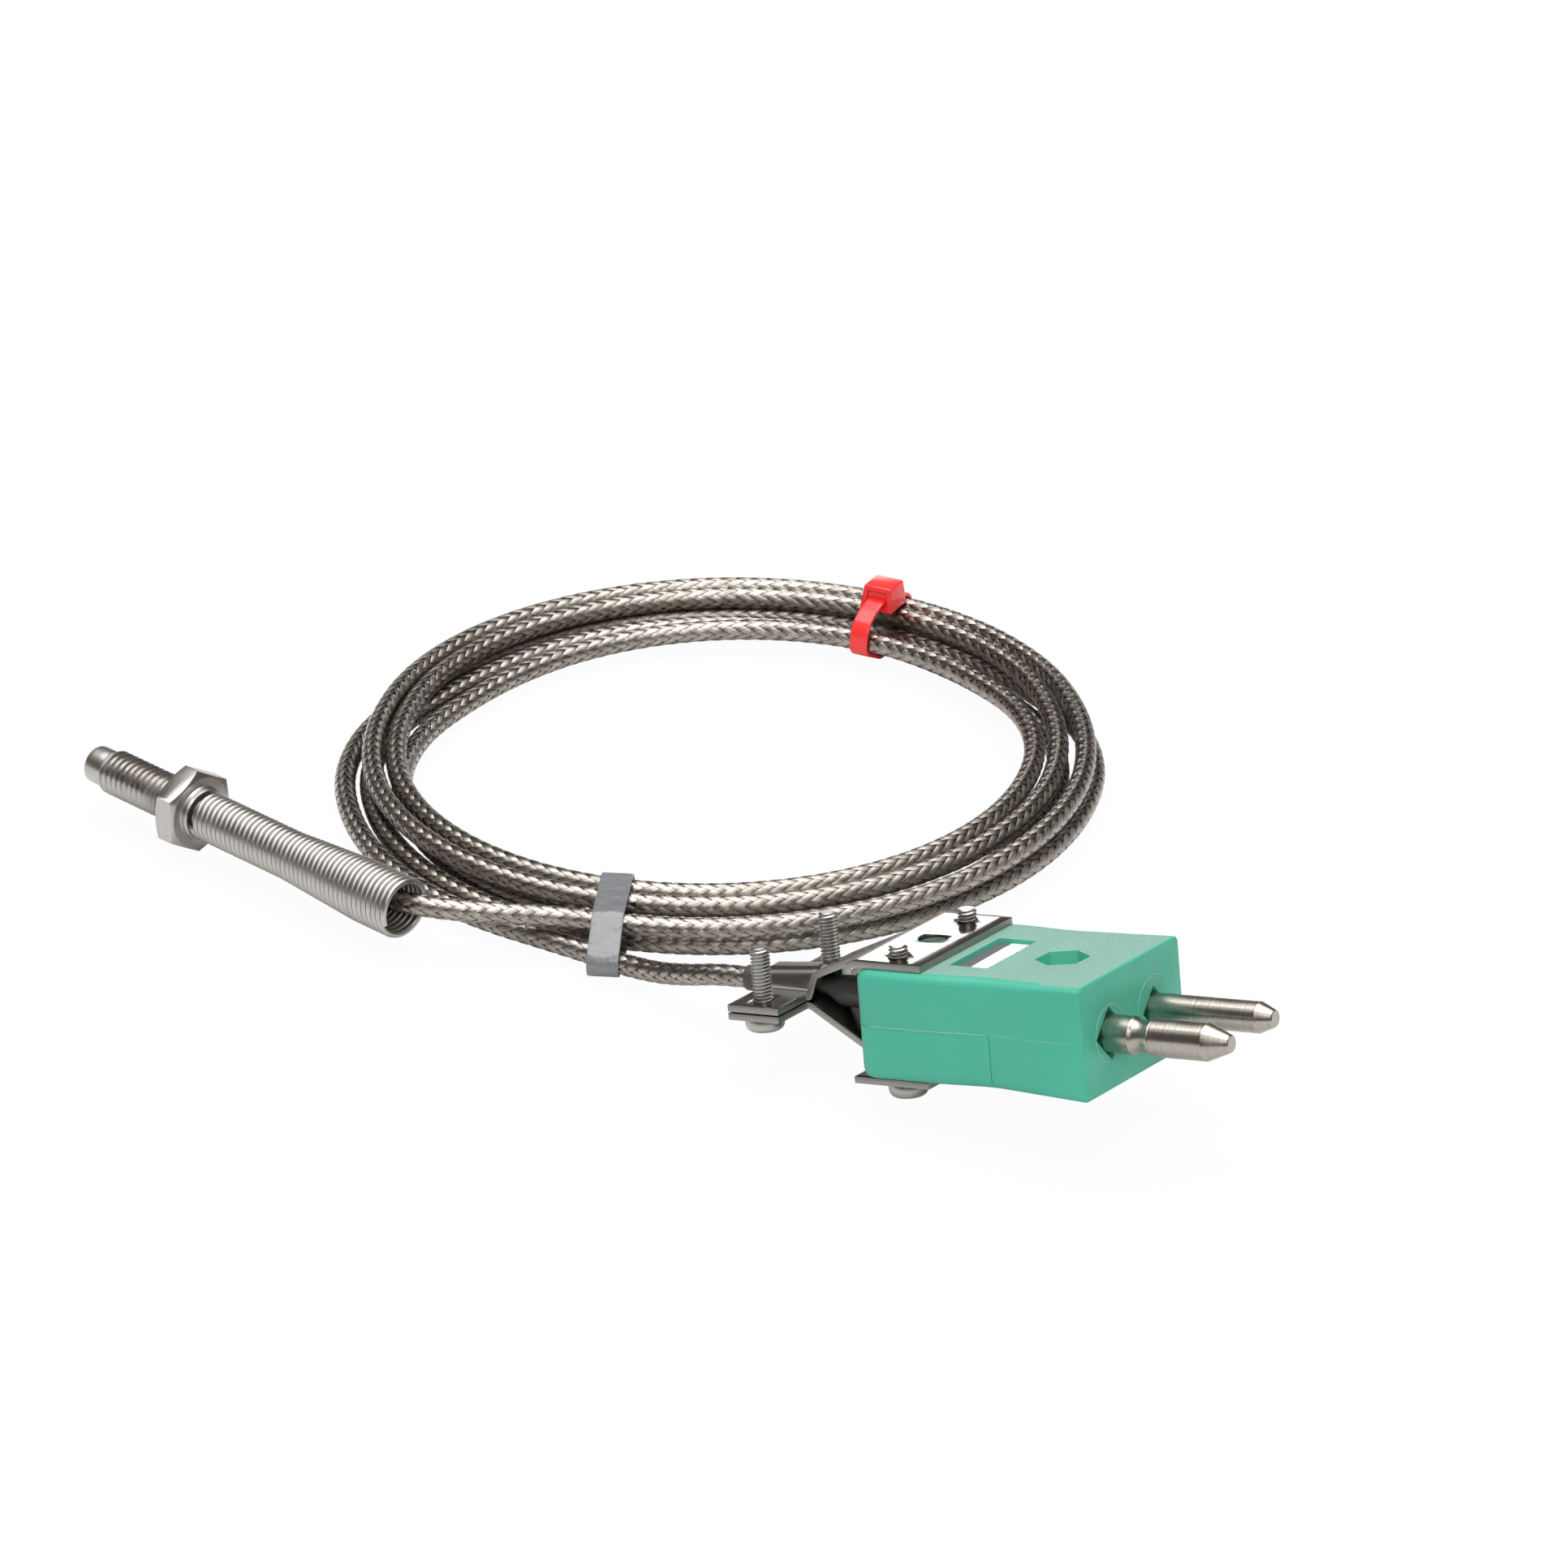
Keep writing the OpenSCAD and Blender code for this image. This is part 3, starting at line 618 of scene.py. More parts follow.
def cable_route():
    """Points of the whole cable in millimetres, from the bolt to inside the sleeve."""
    reach = 2.7
    start = coil_point(0) - coil_heading(0) * reach
    end = coil_point(COIL_TURNS) + coil_heading(COIL_TURNS) * reach
    count = int(COIL_TURNS * POINTS_A_TURN - 0.25)
    face = PLUG_AT + PLUG_TURN.to_3x3() @ Vector((SLEEVE_END, 0, SLEEVE_Z))
    return (
        [Vector(p) for p in PROBE_LEAD]
        + [start - coil_heading(0) * reach, start]
        + [coil_point(i / POINTS_A_TURN) for i in range(count + 1)]
        + [coil_point(COIL_TURNS), end, end + coil_heading(COIL_TURNS) * reach / 2]
        + [Vector(p) for p in PLUG_LEAD]
        + [face + AHEAD * x for x in (-4.32, 0, 3, SLEEVE_RUN)]
    )


def even_route(points, spacing):
    """A smooth curve through points, cut into even steps; gives the steps and their spacing."""
    p = np.array([tuple(v) for v in points])
    gaps = np.linalg.norm(np.diff(p, axis=0), axis=1)
    knots = np.concatenate([[0], np.cumsum(gaps)])
    slopes = np.gradient(p, knots, axis=0)
    fine = np.linspace(0, knots[-1], int(knots[-1] / 0.2))
    i = np.clip(np.searchsorted(knots, fine, side="right") - 1, 0, len(gaps) - 1)
    h = gaps[i][:, None]
    f = ((fine - knots[i]) / gaps[i])[:, None]
    curve = (
        (2 * f ** 3 - 3 * f ** 2 + 1) * p[i] + (f ** 3 - 2 * f ** 2 + f) * h * slopes[i]
        + (3 * f ** 2 - 2 * f ** 3) * p[i + 1] + (f ** 3 - f ** 2) * h * slopes[i + 1]
    )
    run = run_along(curve)
    count = int(round(run[-1] / spacing))
    at = np.linspace(0, run[-1], count + 1)
    return np.stack([np.interp(at, run, curve[:, k]) for k in range(3)], 1), run[-1] / count


def run_along(line):
    """Length of a line up to each of its points."""
    return np.concatenate([[0], np.cumsum(np.linalg.norm(np.diff(line, axis=0), axis=1))])


def steady_frame(p):
    """Headings of a route and two directions square to them, which don't twist along it."""
    t = np.gradient(p, axis=0)
    t /= np.linalg.norm(t, axis=1)[:, None]
    n = np.empty_like(p)
    n[0] = np.cross(t[0], (0, 1, 0))
    n[0] /= np.linalg.norm(n[0])
    for i in range(1, len(p)):
        v = n[i - 1] - t[i] * np.dot(n[i - 1], t[i])
        n[i] = v / np.linalg.norm(v)
    return t, n, np.cross(t, n)


def braid_strips(p, step, lay, strip_w, carriers, first, last, r_mid):
    """Corners, faces and map of all braid strips between two steps of the route."""
    t, n, b = steady_frame(p)
    rows = np.arange(first, last + 1)
    s = rows * step
    cross = s / (lay / (2 * carriers))
    slant = atan2(2 * pi * r_mid, lay)
    offsets = np.array([-0.5, -0.2, 0.2, 0.5]) * strip_w
    crown = np.array([0, 0.055, 0.055, 0])
    weave_depth = 0.075
    corners, faces, maps = [], [], []
    for way in (1, -1):
        for k in range(carriers):
            phase = (cross + 2 * k if way > 0 else 2 * k - cross) + 0.5
            weave = way * np.clip(1.6 * np.sin(2 * pi * phase / 4), -1, 1)
            angle = way * 2 * pi * s / lay + 2 * pi * k / carriers
            base = sum(len(c) for c in corners)
            grid = np.empty((len(rows), 4, 3))
            for j in range(4):
                a = angle + offsets[j] * cos(slant) / r_mid
                r = r_mid + weave_depth * weave + crown[j]
                shift = -way * offsets[j] * sin(slant)
                grid[:, j] = (
                    p[rows] + t[rows] * shift
                    + (r * np.cos(a))[:, None] * n[rows] + (r * np.sin(a))[:, None] * b[rows]
                )
            corners.append(grid.reshape(-1, 3))
            i = np.arange(len(rows) - 1)[:, None] * 4 + np.arange(3)[None, :]
            faces.append(np.stack([i, i + 1, i + 5, i + 4], -1).reshape(-1, 4) + base)
            u = np.tile(offsets / strip_w + 0.5, (len(rows), 1)).reshape(-1)
            maps.append(np.stack([u, np.repeat(s / strip_w, 4)], 1))
    return np.concatenate(corners), np.concatenate(faces), np.concatenate(maps)


def sheet_mesh(name, corners, faces, maps):
    """A mesh from arrays of corners, four-sided faces and their map."""
    mesh = bpy.data.meshes.new(name)
    mesh.vertices.add(len(corners))
    mesh.vertices.foreach_set("co", corners.ravel())
    mesh.loops.add(faces.size)
    mesh.loops.foreach_set("vertex_index", faces.ravel())
    mesh.polygons.add(len(faces))
    mesh.polygons.foreach_set("loop_start", np.arange(0, faces.size, 4))
    layer = mesh.uv_layers.new(name="strip")
    layer.data.foreach_set("uv", maps[faces.ravel()].ravel())
    mesh.update(calc_edges=True)
    mesh.validate()
    obj = bpy.data.objects.new(name, mesh)
    bpy.context.scene.collection.objects.link(obj)
    return obj


def facing(deg):
    """Level direction at an angle."""
    return np.array((cos(radians(deg)), sin(radians(deg))))


def at_coil(deg, r):
    """A place over the coil, in millimetres from the origin."""
    return np.array(COIL_AT) + r * facing(deg)


def crossings(p, at, deg, width):
    """Where the cable passes the two edges and the middle of an upright strap: out from its place, and up."""
    out = facing(deg)
    spots = []
    for shift in (-width / 2, 0, width / 2):
        along = (p[:, :2] - at) @ np.array((-out[1], out[0])) - shift
        for i in np.nonzero(along[:-1] * along[1:] < 0)[0]:
            x, y, z = p[i] + along[i] / (along[i] - along[i + 1]) * (p[i + 1] - p[i])
            reach = float((np.array((x, y)) - at) @ out)
            if abs(reach) < TIE_REACH:
                spots.append((reach, float(z)))
    return spots


def outline(spots, r, extra=()):
    """Outline round strands that are seen end on, with extra points that it takes in."""
    dots = list(extra)
    for out, up in spots:
        dots += [(out + r * cos(a), up + r * sin(a)) for a in np.linspace(0, 2 * pi, 33)]
    dots = sorted(set(dots))
    sides = []
    for row in (dots, dots[::-1]):
        line = []
        for d in row:
            while len(line) > 1 and (
                (line[-1][0] - line[-2][0]) * (d[1] - line[-2][1])
                <= (line[-1][1] - line[-2][1]) * (d[0] - line[-2][0])
            ):
                line.pop()
            line.append(d)
        sides += line[:-1]
    hull = np.array(sides + sides[:1])
    run = run_along(hull)
    at = np.linspace(0, run[-1], 97)[:-1]
    return [(float(np.interp(x, run, hull[:, 0])), float(np.interp(x, run, hull[:, 1]))) for x in at]


def strap(rim, width, thick, steps=6):
    """A strap round an outline: a ring that is widened to a sleeve and given its thickness outwards."""
    obj = ring([(out, -width / 2, up) for out, up in rim])
    everything()
    for i in range(steps):
        draw_out(0, width / steps, 0)
    mend()
    shape = bmesh.from_edit_mesh(obj.data)
    hub = sum((vert.co for vert in shape.verts), Vector()) / len(shape.verts)
    if sum((face.calc_center_median() - hub).dot(face.normal) for face in shape.faces) < 0:
        bpy.ops.mesh.flip_normals()
    let_go()
    work(obj, "SOLIDIFY", thickness=thick, offset=1, use_even_offset=True)
    return obj


# Operators: one for each piece or group of like pieces


class THERMO_OT_cable(bpy.types.Operator):
    """Lay the cable and braid the steel strips round it"""

    bl_idname = "thermocouple.cable"
    bl_label = "Braided Cable"

    def execute(self, context):
        look = context.scene.thermo_cable
        lay, strip_w = look.lay * 1000, look.strip_w * 1000
        strip_depth, braid_r, thinned, every = 0.00022, CABLE_R - 0.13, 0.75, 3
        p, step = even_route(cable_route(), lay / STEPS_A_LAY)
        if len(p) < 1000:
            raise RuntimeError("the cable's route is too short")
        let_go()
        curve = bpy.data.curves.new("cable_core", "CURVE")
        curve.dimensions = "3D"
        line = curve.splines.new("POLY")
        dots = np.concatenate([p[:-1:every], p[-1:]]) / 1000
        line.points.add(len(dots) - 1)
        line.points.foreach_set("co", np.concatenate([dots, np.ones((len(dots), 1))], 1).ravel())
        for i in range(len(dots) - int(SLEEVE_CUT / (every * step)), len(dots)):
            line.points[i].radius = thinned
        curve.bevel_depth = look.diameter / 2 - strip_depth
        curve.bevel_resolution = 2
        curve.use_fill_caps = True
        core = bpy.data.objects.new("cable_core", curve)
        context.scene.collection.objects.link(core)
        core.data.materials.append(
            metal("braid shadow", shade(look.braid, 0.22), 0.5, 0.7, (0, 0, 1), 2500, 0.00003))
        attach(core, "root")
        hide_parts("cable_probe_lead", "cable_coil", "cable_plug_lead")
        wire = braid_wire("braid wire", look.braid)
        cuts = np.linspace(0, len(p) - 1 - int(SLEEVE_CUT / step), BRAID_PARTS + 1).astype(int)
        for i in range(BRAID_PARTS):
            name = f"cable_braid_{i + 1}"
            parts = braid_strips(p, step, lay, strip_w, look.carriers, cuts[i], cuts[i + 1], braid_r)
            set_down(sheet_mesh(name, *parts), name, MM, "root", "braid", wire, angle=60)
        context.scene["thermo_length"] = float(step * (len(p) - 1) / 1000)
        return {"FINISHED"}


class THERMO_OT_bolt(bpy.types.Operator):
    """Turn the probe bolt: nose, thread, neck, hexagon, collar and spigot"""

    bl_idname = "thermocouple.bolt"
    bl_label = "Probe Bolt"

    def execute(self, context):
        look = context.scene.thermo_probe
        r = look.thread_d * 500
        half = look.hex_af * 500
        nose = turned([(-29.6, 0.9), (-29.6, 2.2), (-29.5, 2.38), (-29.3, 2.48), (-29.1, 2.5), (-26.9, 2.5),
                       (-26.5, 2.42), (-25.9, 2.42)])
        thread = threaded(-26.6, -13.6, r - 0.56, r, look.thread_pitch * 1000, 0.5, 40)
        neck = turned([(-14.2, 2.2), (-13.9, 2.5), (-13.0, 2.5), (-12.4, 2.6)], 48)
        hexagon = made("cylinder", vertices=6, radius=half / cos(pi / 6), depth=3.4, location=(-11.1, 0, 0),
                       rotation=TO_X)
        ends = turned(
            [(-12.8, half - 0.2), (-12.15, half + 0.9), (-10.0, half + 0.9), (-9.4, half - 0.25)], 96)
        carve(hexagon, ends, "INTERSECT")
        soften(hexagon, 0.09, 18, 2)
        collar = turned([(-9.8, 3.3), (-9.4, 3.62), (-9.2, 3.5), (-8.75, 3.5), (-8.5, 3.3), (-8.5, 2.35),
                         (-8.3, 2.25), (-3.2, 2.2), (-3.0, 2.05), (-3.0, 1.5)])
        bolt = join(hexagon, nose, thread, neck, collar)
        steel = metal("turned bolt steel", look.steel, 0.22, 0.38, (1, 0, 0), 3800, 0.00003)
        set_down(bolt, "bolt_turned", PROBE, "root", "bolt_steel", steel, "probe_bolt")
        return {"FINISHED"}


class THERMO_OT_spring(bpy.types.Operator):
    """Wind the strain relief spring, widening towards its mouth"""

    bl_idname = "thermocouple.spring"
    bl_label = "Strain Relief Spring"

    def execute(self, context):
        look = context.scene.thermo_probe
        r = look.wire_d * 500
        start_x, length, wound_r, flare, flare_x, flare_run = -8.5, 38.1, 2.84, 0.83, 8, 14
        spring = made("circle", vertices=10, radius=r, fill_type="NOTHING", location=(0, 0, wound_r),
                      rotation=(pi / 2, 0, 0))
        wind(spring, (length - 2 * r) / look.curls, 36, look.curls, use_merge_vertices=False)
        edit(spring)
        mend()
        pick(spring, "EDGE", lambda m, e: e.is_boundary)
        bpy.ops.mesh.edge_face_add()
        mend()
        end_turn = rotation(105, "X", 3)

        def widen(co):
            x = co.x + start_x + r
            out = Vector((0, co.y, co.z)).normalized()
            wide = flare * min(1, max(0, (x - flare_x) / flare_run))
            co[:] = end_turn @ (Vector((x, co.y, co.z)) + out * wide)

        reshape(spring, widen)
        let_go()
        steel = metal("drawn spring wire", shade(look.steel, 1.02), 0.3, 0.42, (1, 0, 0), 1600, 0.000012)
        set_down(spring, "spring_wound", PROBE, "root", "spring_steel", steel, "strain_spring", angle=60)
        return {"FINISHED"}


class THERMO_OT_ties(bpy.types.Operator):
    """Close the red cable tie and the grey marker band round the coil"""

    bl_idname = "thermocouple.ties"
    bl_label = "Tie and Band"

    def execute(self, context):
        look = context.scene.thermo_cable
        p = even_route(cable_route(), 0.5)[0]
        at = at_coil(TIE_DEG, TIE_R)
        spots = crossings(p, at, TIE_DEG, TIE_W)
        top = max(up for out, up in spots) + CABLE_R
        inner = min(out for out, up in spots) - CABLE_R
        swell = [(inner + 0.15, 5.2), (inner + 0.95, 6.3), (inner + 2.4, 7.2), (-1.3, top + 1.5),
                 (1.5, top + 1.2)]
        belt = strap(outline(spots, CABLE_R + 0.06, swell), TIE_W, 0.5)
        soften(belt, 0.16, 50, 3)
        head_top = top + 3.7
        head = block((-1.5, -2.4, top + 0.35), (3.3, 2.4, head_top))
        edit(head)
        pick(head, "FACE", lambda m, f: m.z > top + 3)
        bpy.ops.transform.resize(value=(0.78, 0.84, 1), center_override=(1.7, 0, head_top))
        pick(head, "FACE", lambda m, f: f.normal.x < -0.7)
        bpy.ops.mesh.inset(thickness=0.7, depth=0)
        draw_out(0.5, 0, -0.1)
        let_go()
        soften(head, 0.5, 30, 4)
        red = plastic("glossy red nylon", look.tie, 0.16, 0.28, 1500, 0.00001, 0.06)
        tie = join(belt, head)
        place = MM @ Matrix.Translation((*at, 0)) @ rotation(TIE_DEG, "Z")
        set_down(tie, "tie_closed", place, "root", "red_nylon", red, "red_cable_tie", angle=40)
        at = at_coil(BAND_DEG, BAND_R)
        band = strap(outline(crossings(p, at, BAND_TURN, BAND_W), CABLE_R + 0.08), BAND_W, 0.34)
        soften(band, 0.1, 50, 2)
        grey = plastic("grey marker band", look.band, 0.18, 0.3, 420, 0.0004, 0.1, 0.3)
        place = MM @ Matrix.Translation((*at, 0)) @ rotation(BAND_TURN, "Z")
        set_down(band, "band_wrapped", place, "root", "grey_band", grey, "grey_marker_band", angle=50)
        return {"FINISHED"}


def drill(obj, at, reach, r):
    """Cut a pair of upright holes, one to each side."""
    for side in (-1, 1):
        carve(obj, peg(at[0], side * at[1], -reach, reach, r))


def waist(x):
    """How far the plug's sides are drawn in at x."""
    return 0.5 * ease(1 - abs(x + 14) / 8)


def plug_block(look):
    """The plug's body in one piece: a waisted block with soft long and rear edges."""
    length, half_w, half_h = look.length * 1000, look.width * 500, look.height * 500
    edge = look.edge * 1000
    rear_edge, front_edge, near = 1.9, 0.3, 0.01
    sharp_x, sharp_run, sharpness = -8, 7, 0.8
    drop, drop_run = 0.5, 13.4
    obj = block((-length, -half_w, -half_h), (0, half_w, half_h))
    edit(obj)
    for x in np.linspace(-22, -6, 13):
        cut(float(x))
    pick(obj, "EDGE", lambda m, e: abs(m.y) > half_w - near and m.x < -length + near and abs(m.z) < 1)
    bpy.ops.mesh.bevel(offset=rear_edge, segments=6)
    pick(obj, "EDGE", lambda m, e: abs(m.z) > half_h - near and m.x < -near and len(e.link_faces) == 2
         and e.calc_face_angle(0) > 1)
    bpy.ops.mesh.bevel(offset=edge, segments=5)

    def form(co):
        y, z = abs(co.y) - (half_w - edge), abs(co.z) - (half_h - edge)
        if y > 1e-4 and z > 1e-4 and co.x > sharp_x:
            sharp = min(1, (co.x - sharp_x) / sharp_run) * sharpness
            grow = 1 + sharp * (edge / max(y, z) - 1)
            co.y = copysign(half_w - edge + y * grow, co.y)
            co.z = copysign(half_h - edge + z * grow, co.z)
        co.y -= copysign(waist(co.x), co.y) * min(1, abs(co.y) / 9)
        if co.z < 2 - half_h:
            co.z -= drop * max(0, 1 + co.x / drop_run)

    reshape(obj, form)
    mend()
    pick(obj, "EDGE", lambda m, e: m.x > -near)
    bpy.ops.mesh.bevel(offset=front_edge, segments=3)
    let_go()
    return obj


def seam_bead(half_w, side, first, last, r, ragged):
    """A thin, ragged bead of flash along the parting line of one side."""
    bead = turned([(x, r * (1 + ragged * sin(5.3 * x) * sin(2.1 * x + 1)))
                   for x in np.arange(first, last, 0.25)], 8)

    def lay(co):
        co.y += side * (half_w - waist(co.x) - 0.3 * r)
        co.z += ragged * 0.05 * sin(1.7 * co.x)

    reshape(bead, lay)
    return bead


def plug_chamber():
    """The space inside the plug, with the two screw bosses left standing, as a cutting tool."""
    room = block((-30.2, -10.7, -5.5), (SPLIT_X, 10.7, 5.2))
    drill(room, BODY_SCREW, 9, 2.6)
    return room


def square_peg(y, width):
    """A square bar along +X on its corner, as the tool for a pin's channel."""
    return made("cube", size=1, location=(-5, y, PIN_Z), scale=(18, width, width), rotation=(pi / 4, 0, 0))


class THERMO_OT_plug(bpy.types.Operator):
    """Mould the plug's housing and cover, with pockets, channels and label"""

    bl_idname = "thermocouple.plug"
    bl_label = "Plug Body"

    def execute(self, context):
        look = context.scene.thermo_plug
        high, half_w, far, seam = look.height * 500, look.width * 500, 20, 0.04
        body = plug_block(look)
        carve(body, plug_chamber())
        drill(body, BODY_SCREW, 9, 1.6)
        carve(body, made("cylinder", vertices=32, radius=2.06, depth=4, location=(-32, 0, SLEEVE_FREE_Z),
                         rotation=TO_X))
        cover = twin(body)
        carve(cover, block((-40, -far, -far), (SPLIT_X - seam, far, -0.02)), "INTERSECT")
        carve(body, block((-40, -far, -far), (SPLIT_X + seam, far, 0)))
        carve(body, square_peg(PIN_Y, 4.06))
        carve(body, square_peg(-PIN_Y, 4.86))
        carve(body, block((-21.2, -7, high - 0.6), (-15.9, 5.3, 10)))
        carve(body, peg(-9, -0.4, high - 2.4, 10, 3.45, 6, -3))
        soften(body, 0.07, 40, 2)
        soften(cover, 0.07, 40, 2)
        green = plastic("green moulded plastic", look.green, 0.42, 0.56, 900, 0.00002, 0.05)
        top = grained_top("green grained top", look.green)
        pale = plastic("green flash", paled(look.green, 0.75, 0.17), 0.4, 0.5, 900, 0.00002)
        body.data.materials.append(green)
        body.data.materials.append(top)
        for face in body.data.polygons:
            if face.normal.z > 0.995 and abs(face.center.z - high) < 0.3:
                face.material_index = 1
        extras = [
            made("torus", major_segments=72, minor_segments=6, major_radius=r, minor_radius=0.075,
                 location=(-0.02, y, PIN_Z), rotation=(0, pi / 2, 0))
            for y, r in ((PIN_Y, 4.2), (-PIN_Y, 3.55))
        ]
        for side in (-1, 1):
            extras.append(seam_bead(half_w, side, -30, SPLIT_X, 0.085, 0.45))
            extras.append(seam_bead(half_w, side, -13.3, -0.6, 0.04, 0.2))
        for extra in extras:
            extra.data.materials.append(pale)
        body = join(body, *extras)
        set_down(body, "plug_body_moulded", PLUG, "root", "plug_green", None, "plug_housing", angle=30)
        set_down(cover, "plug_cover_moulded", PLUG, "root", "plug_green", green, "plug_cover", angle=30)
        # The label's rear end, behind a slanted line, is dark grey: painted shadow next to the clamp plate
        shadow_edge_x, shadow_edge_slant = -19.2, 0.03
        label = block((-21.1, -6.9, high - 0.6), (-16.0, 5.2, high - 0.5))
        edit(label)
        cut(shadow_edge_x, (1, shadow_edge_slant, 0))
        let_go()
        soften(label, 0.05, 40, 1)
        film = plastic("white label film", (0.8, 0.81, 0.83), 0.16, 0.3, 300, 0.0004, 0.04, 0.5)
        dark = plastic("label painted shadow", (0.1, 0.105, 0.11), 0.5, 0.64, 300, 0.0003, 0.1)
        set_down(label, "label_blank", PLUG, "root", "label", film, "label_plate")
        label.data.materials.append(dark)
        split = PLUG @ Vector((shadow_edge_x, 0, high))
        for face in label.data.polygons:
            if (face.center - split).dot(AHEAD + shadow_edge_slant * ACROSS) < 0:
                face.material_index = 1
        return {"FINISHED"}


class THERMO_OT_pins(bpy.types.Operator):
    """Turn the thick and the thin pin with their blocks inside the plug"""

    bl_idname = "thermocouple.pins"
    bl_label = "Plug Pins"

    def execute(self, context):
        look = context.scene.thermo_plug
        steel = metal("turned pin metal", look.pin, 0.2, 0.32, tuple(AHEAD), 2600, 0.00001, 320)
        groove = [(3.5, 0), (3.62, 0.05), (3.9, 0.24), (4.2, 0.34), (4.6, 0.38), (5.1, 0.36), (5.5, 0.3),
                  (5.9, 0.22), (6.05, 0.22), (6.2, 0.28), (6.28, 0.05), (6.36, 0)]
        for name, y, r, ring_cut, cone in (
            ("positive_pin", PIN_Y, 1.98, [], 14.8), ("negative_pin", -PIN_Y, 2.38, groove, 13.7),
        ):
            shank_r, foot_w = r - 0.5, 2.9
            profile = [(SPLIT_X - 0.4, shank_r), (-5, shank_r), (-5, r), (0.1, r)]
            profile += [(x, r - depth) for x, depth in ring_cut]
            profile += [(cone - 0.06, r), (cone + 0.06, r - 0.04)]
            profile += [(PIN_END - 0.12, 1.12), (PIN_END, 1.0), (PIN_END, 0.3)]
            shaft = turned(profile, 72)
            shaft.data.transform(Matrix.Translation((0, y, PIN_Z)))
            foot = block((SPLIT_X - 7, y - foot_w, -1.2), (SPLIT_X, y + foot_w, 3))
            carve(foot, peg(-17, y, -5, 5, 1.3))
            soften(foot, 0.15, 40, 2)
            pin = join(shaft, foot)
            set_down(pin, name + "_turned", PLUG, "root", "pin_alloy", steel, name, angle=14)
        return {"FINISHED"}


def plate_sheet(upper, *materials):
    """A clamp plate as a thin sheet: a grid, cut to its outline and bent; its rim has its own finish."""
    xs = [-51, -50.6, -49.2, -47.7, -46.2, -45, -44.6, -44.3, -44, -43.7, -43.4, -43.1, -42.8, -42.3, -41.5,
          -40, -38, -36, -34.6, -33.4, -32.9, -32.6, -32.3, -32, -31.7, -31.1, -30, -27.5, -25, -22.8]
    half = [0, 0.6, 1.2, 1.6, 1.9, 2.2, 2.5, 2.8, 3.05, 3.3, 3.6, 4, 4.5, 5.6, 8.2, 10.6, 11.4]
    ys = [-y for y in half[:0:-1]] + half
    neck_y, thick = 4.5, PLATE_T / 2
    obj = made("grid", x_subdivisions=len(xs) - 1, y_subdivisions=len(ys) - 1, size=1)
    for material in materials:
        obj.data.materials.append(material)
    edit(obj)

    def lay_out(co):
        co.x = xs[round((co.x + 0.5) * (len(xs) - 1))]
        co.y = ys[round((co.y + 0.5) * (len(ys) - 1))]

    def bend(co):
        x, y = co.x, abs(co.y)
        run = min(1, max(0, (x + 43.3) / 11))
        if upper:
            flat, jaw = TOP_Z + thick, HAT_Z + thick + 0.07 * min(7, max(0, x - xs[0]))
            beside = ease((y - 1.2) / 2.1) * ease((-42.2 - x) / 1.4)
            co.z = jaw + (flat - jaw) * run - beside * (jaw - thick + 0.1)
        else:
            flat, jaw = -TOP_Z - thick, LOW_JAW_Z - thick
            co.z = jaw + (flat - jaw) * (1 if y > neck_y and x > -34 else run)

    reshape(obj, lay_out)
    pick(obj, "FACE", lambda m, f: -43.6 < m.x < -33.4 and abs(m.y) > neck_y)
    bpy.ops.mesh.delete(type="FACE")
    everything()
    reshape(obj, bend)
    bpy.ops.mesh.normals_make_consistent(inside=False)
    let_go()
    work(obj, "SOLIDIFY", thickness=PLATE_T, offset=0, use_even_offset=True, material_offset_rim=1)
    return obj


class THERMO_OT_plates(bpy.types.Operator):
    """Press the two clamp plates and drill them"""

    bl_idname = "thermocouple.plates"
    bl_label = "Clamp Plates"

    def execute(self, context):
        look = context.scene.thermo_plug
        across, through = tuple(ACROSS), 12
        steel = metal("pressed plate steel", look.plate, 0.1, 0.17, across, 1500, 0.000003, 140)
        rim = metal("sheared plate rim", shade(look.plate, 1.05), 0.42, 0.56, across, 2400, 0.00002, 300)
        for upper, name, body, r in (
            (True, "upper_clamp_plate", "clamp_plate", 1.3), (False, "lower_clamp_plate", "root", 1.36),
        ):
            plate = plate_sheet(upper, steel, rim)
            drill(plate, BODY_SCREW, through, r)
            drill(plate, JAW_SCREW, through, r)
            carve(plate, peg(BODY_SCREW[0], 0, -through, through, 1.8, 40))
            soften(plate, 0.12, 50, 2)
            set_down(plate, name + "_pressed", PLUG, body, "plate_steel", None, name)
        return {"FINISHED"}


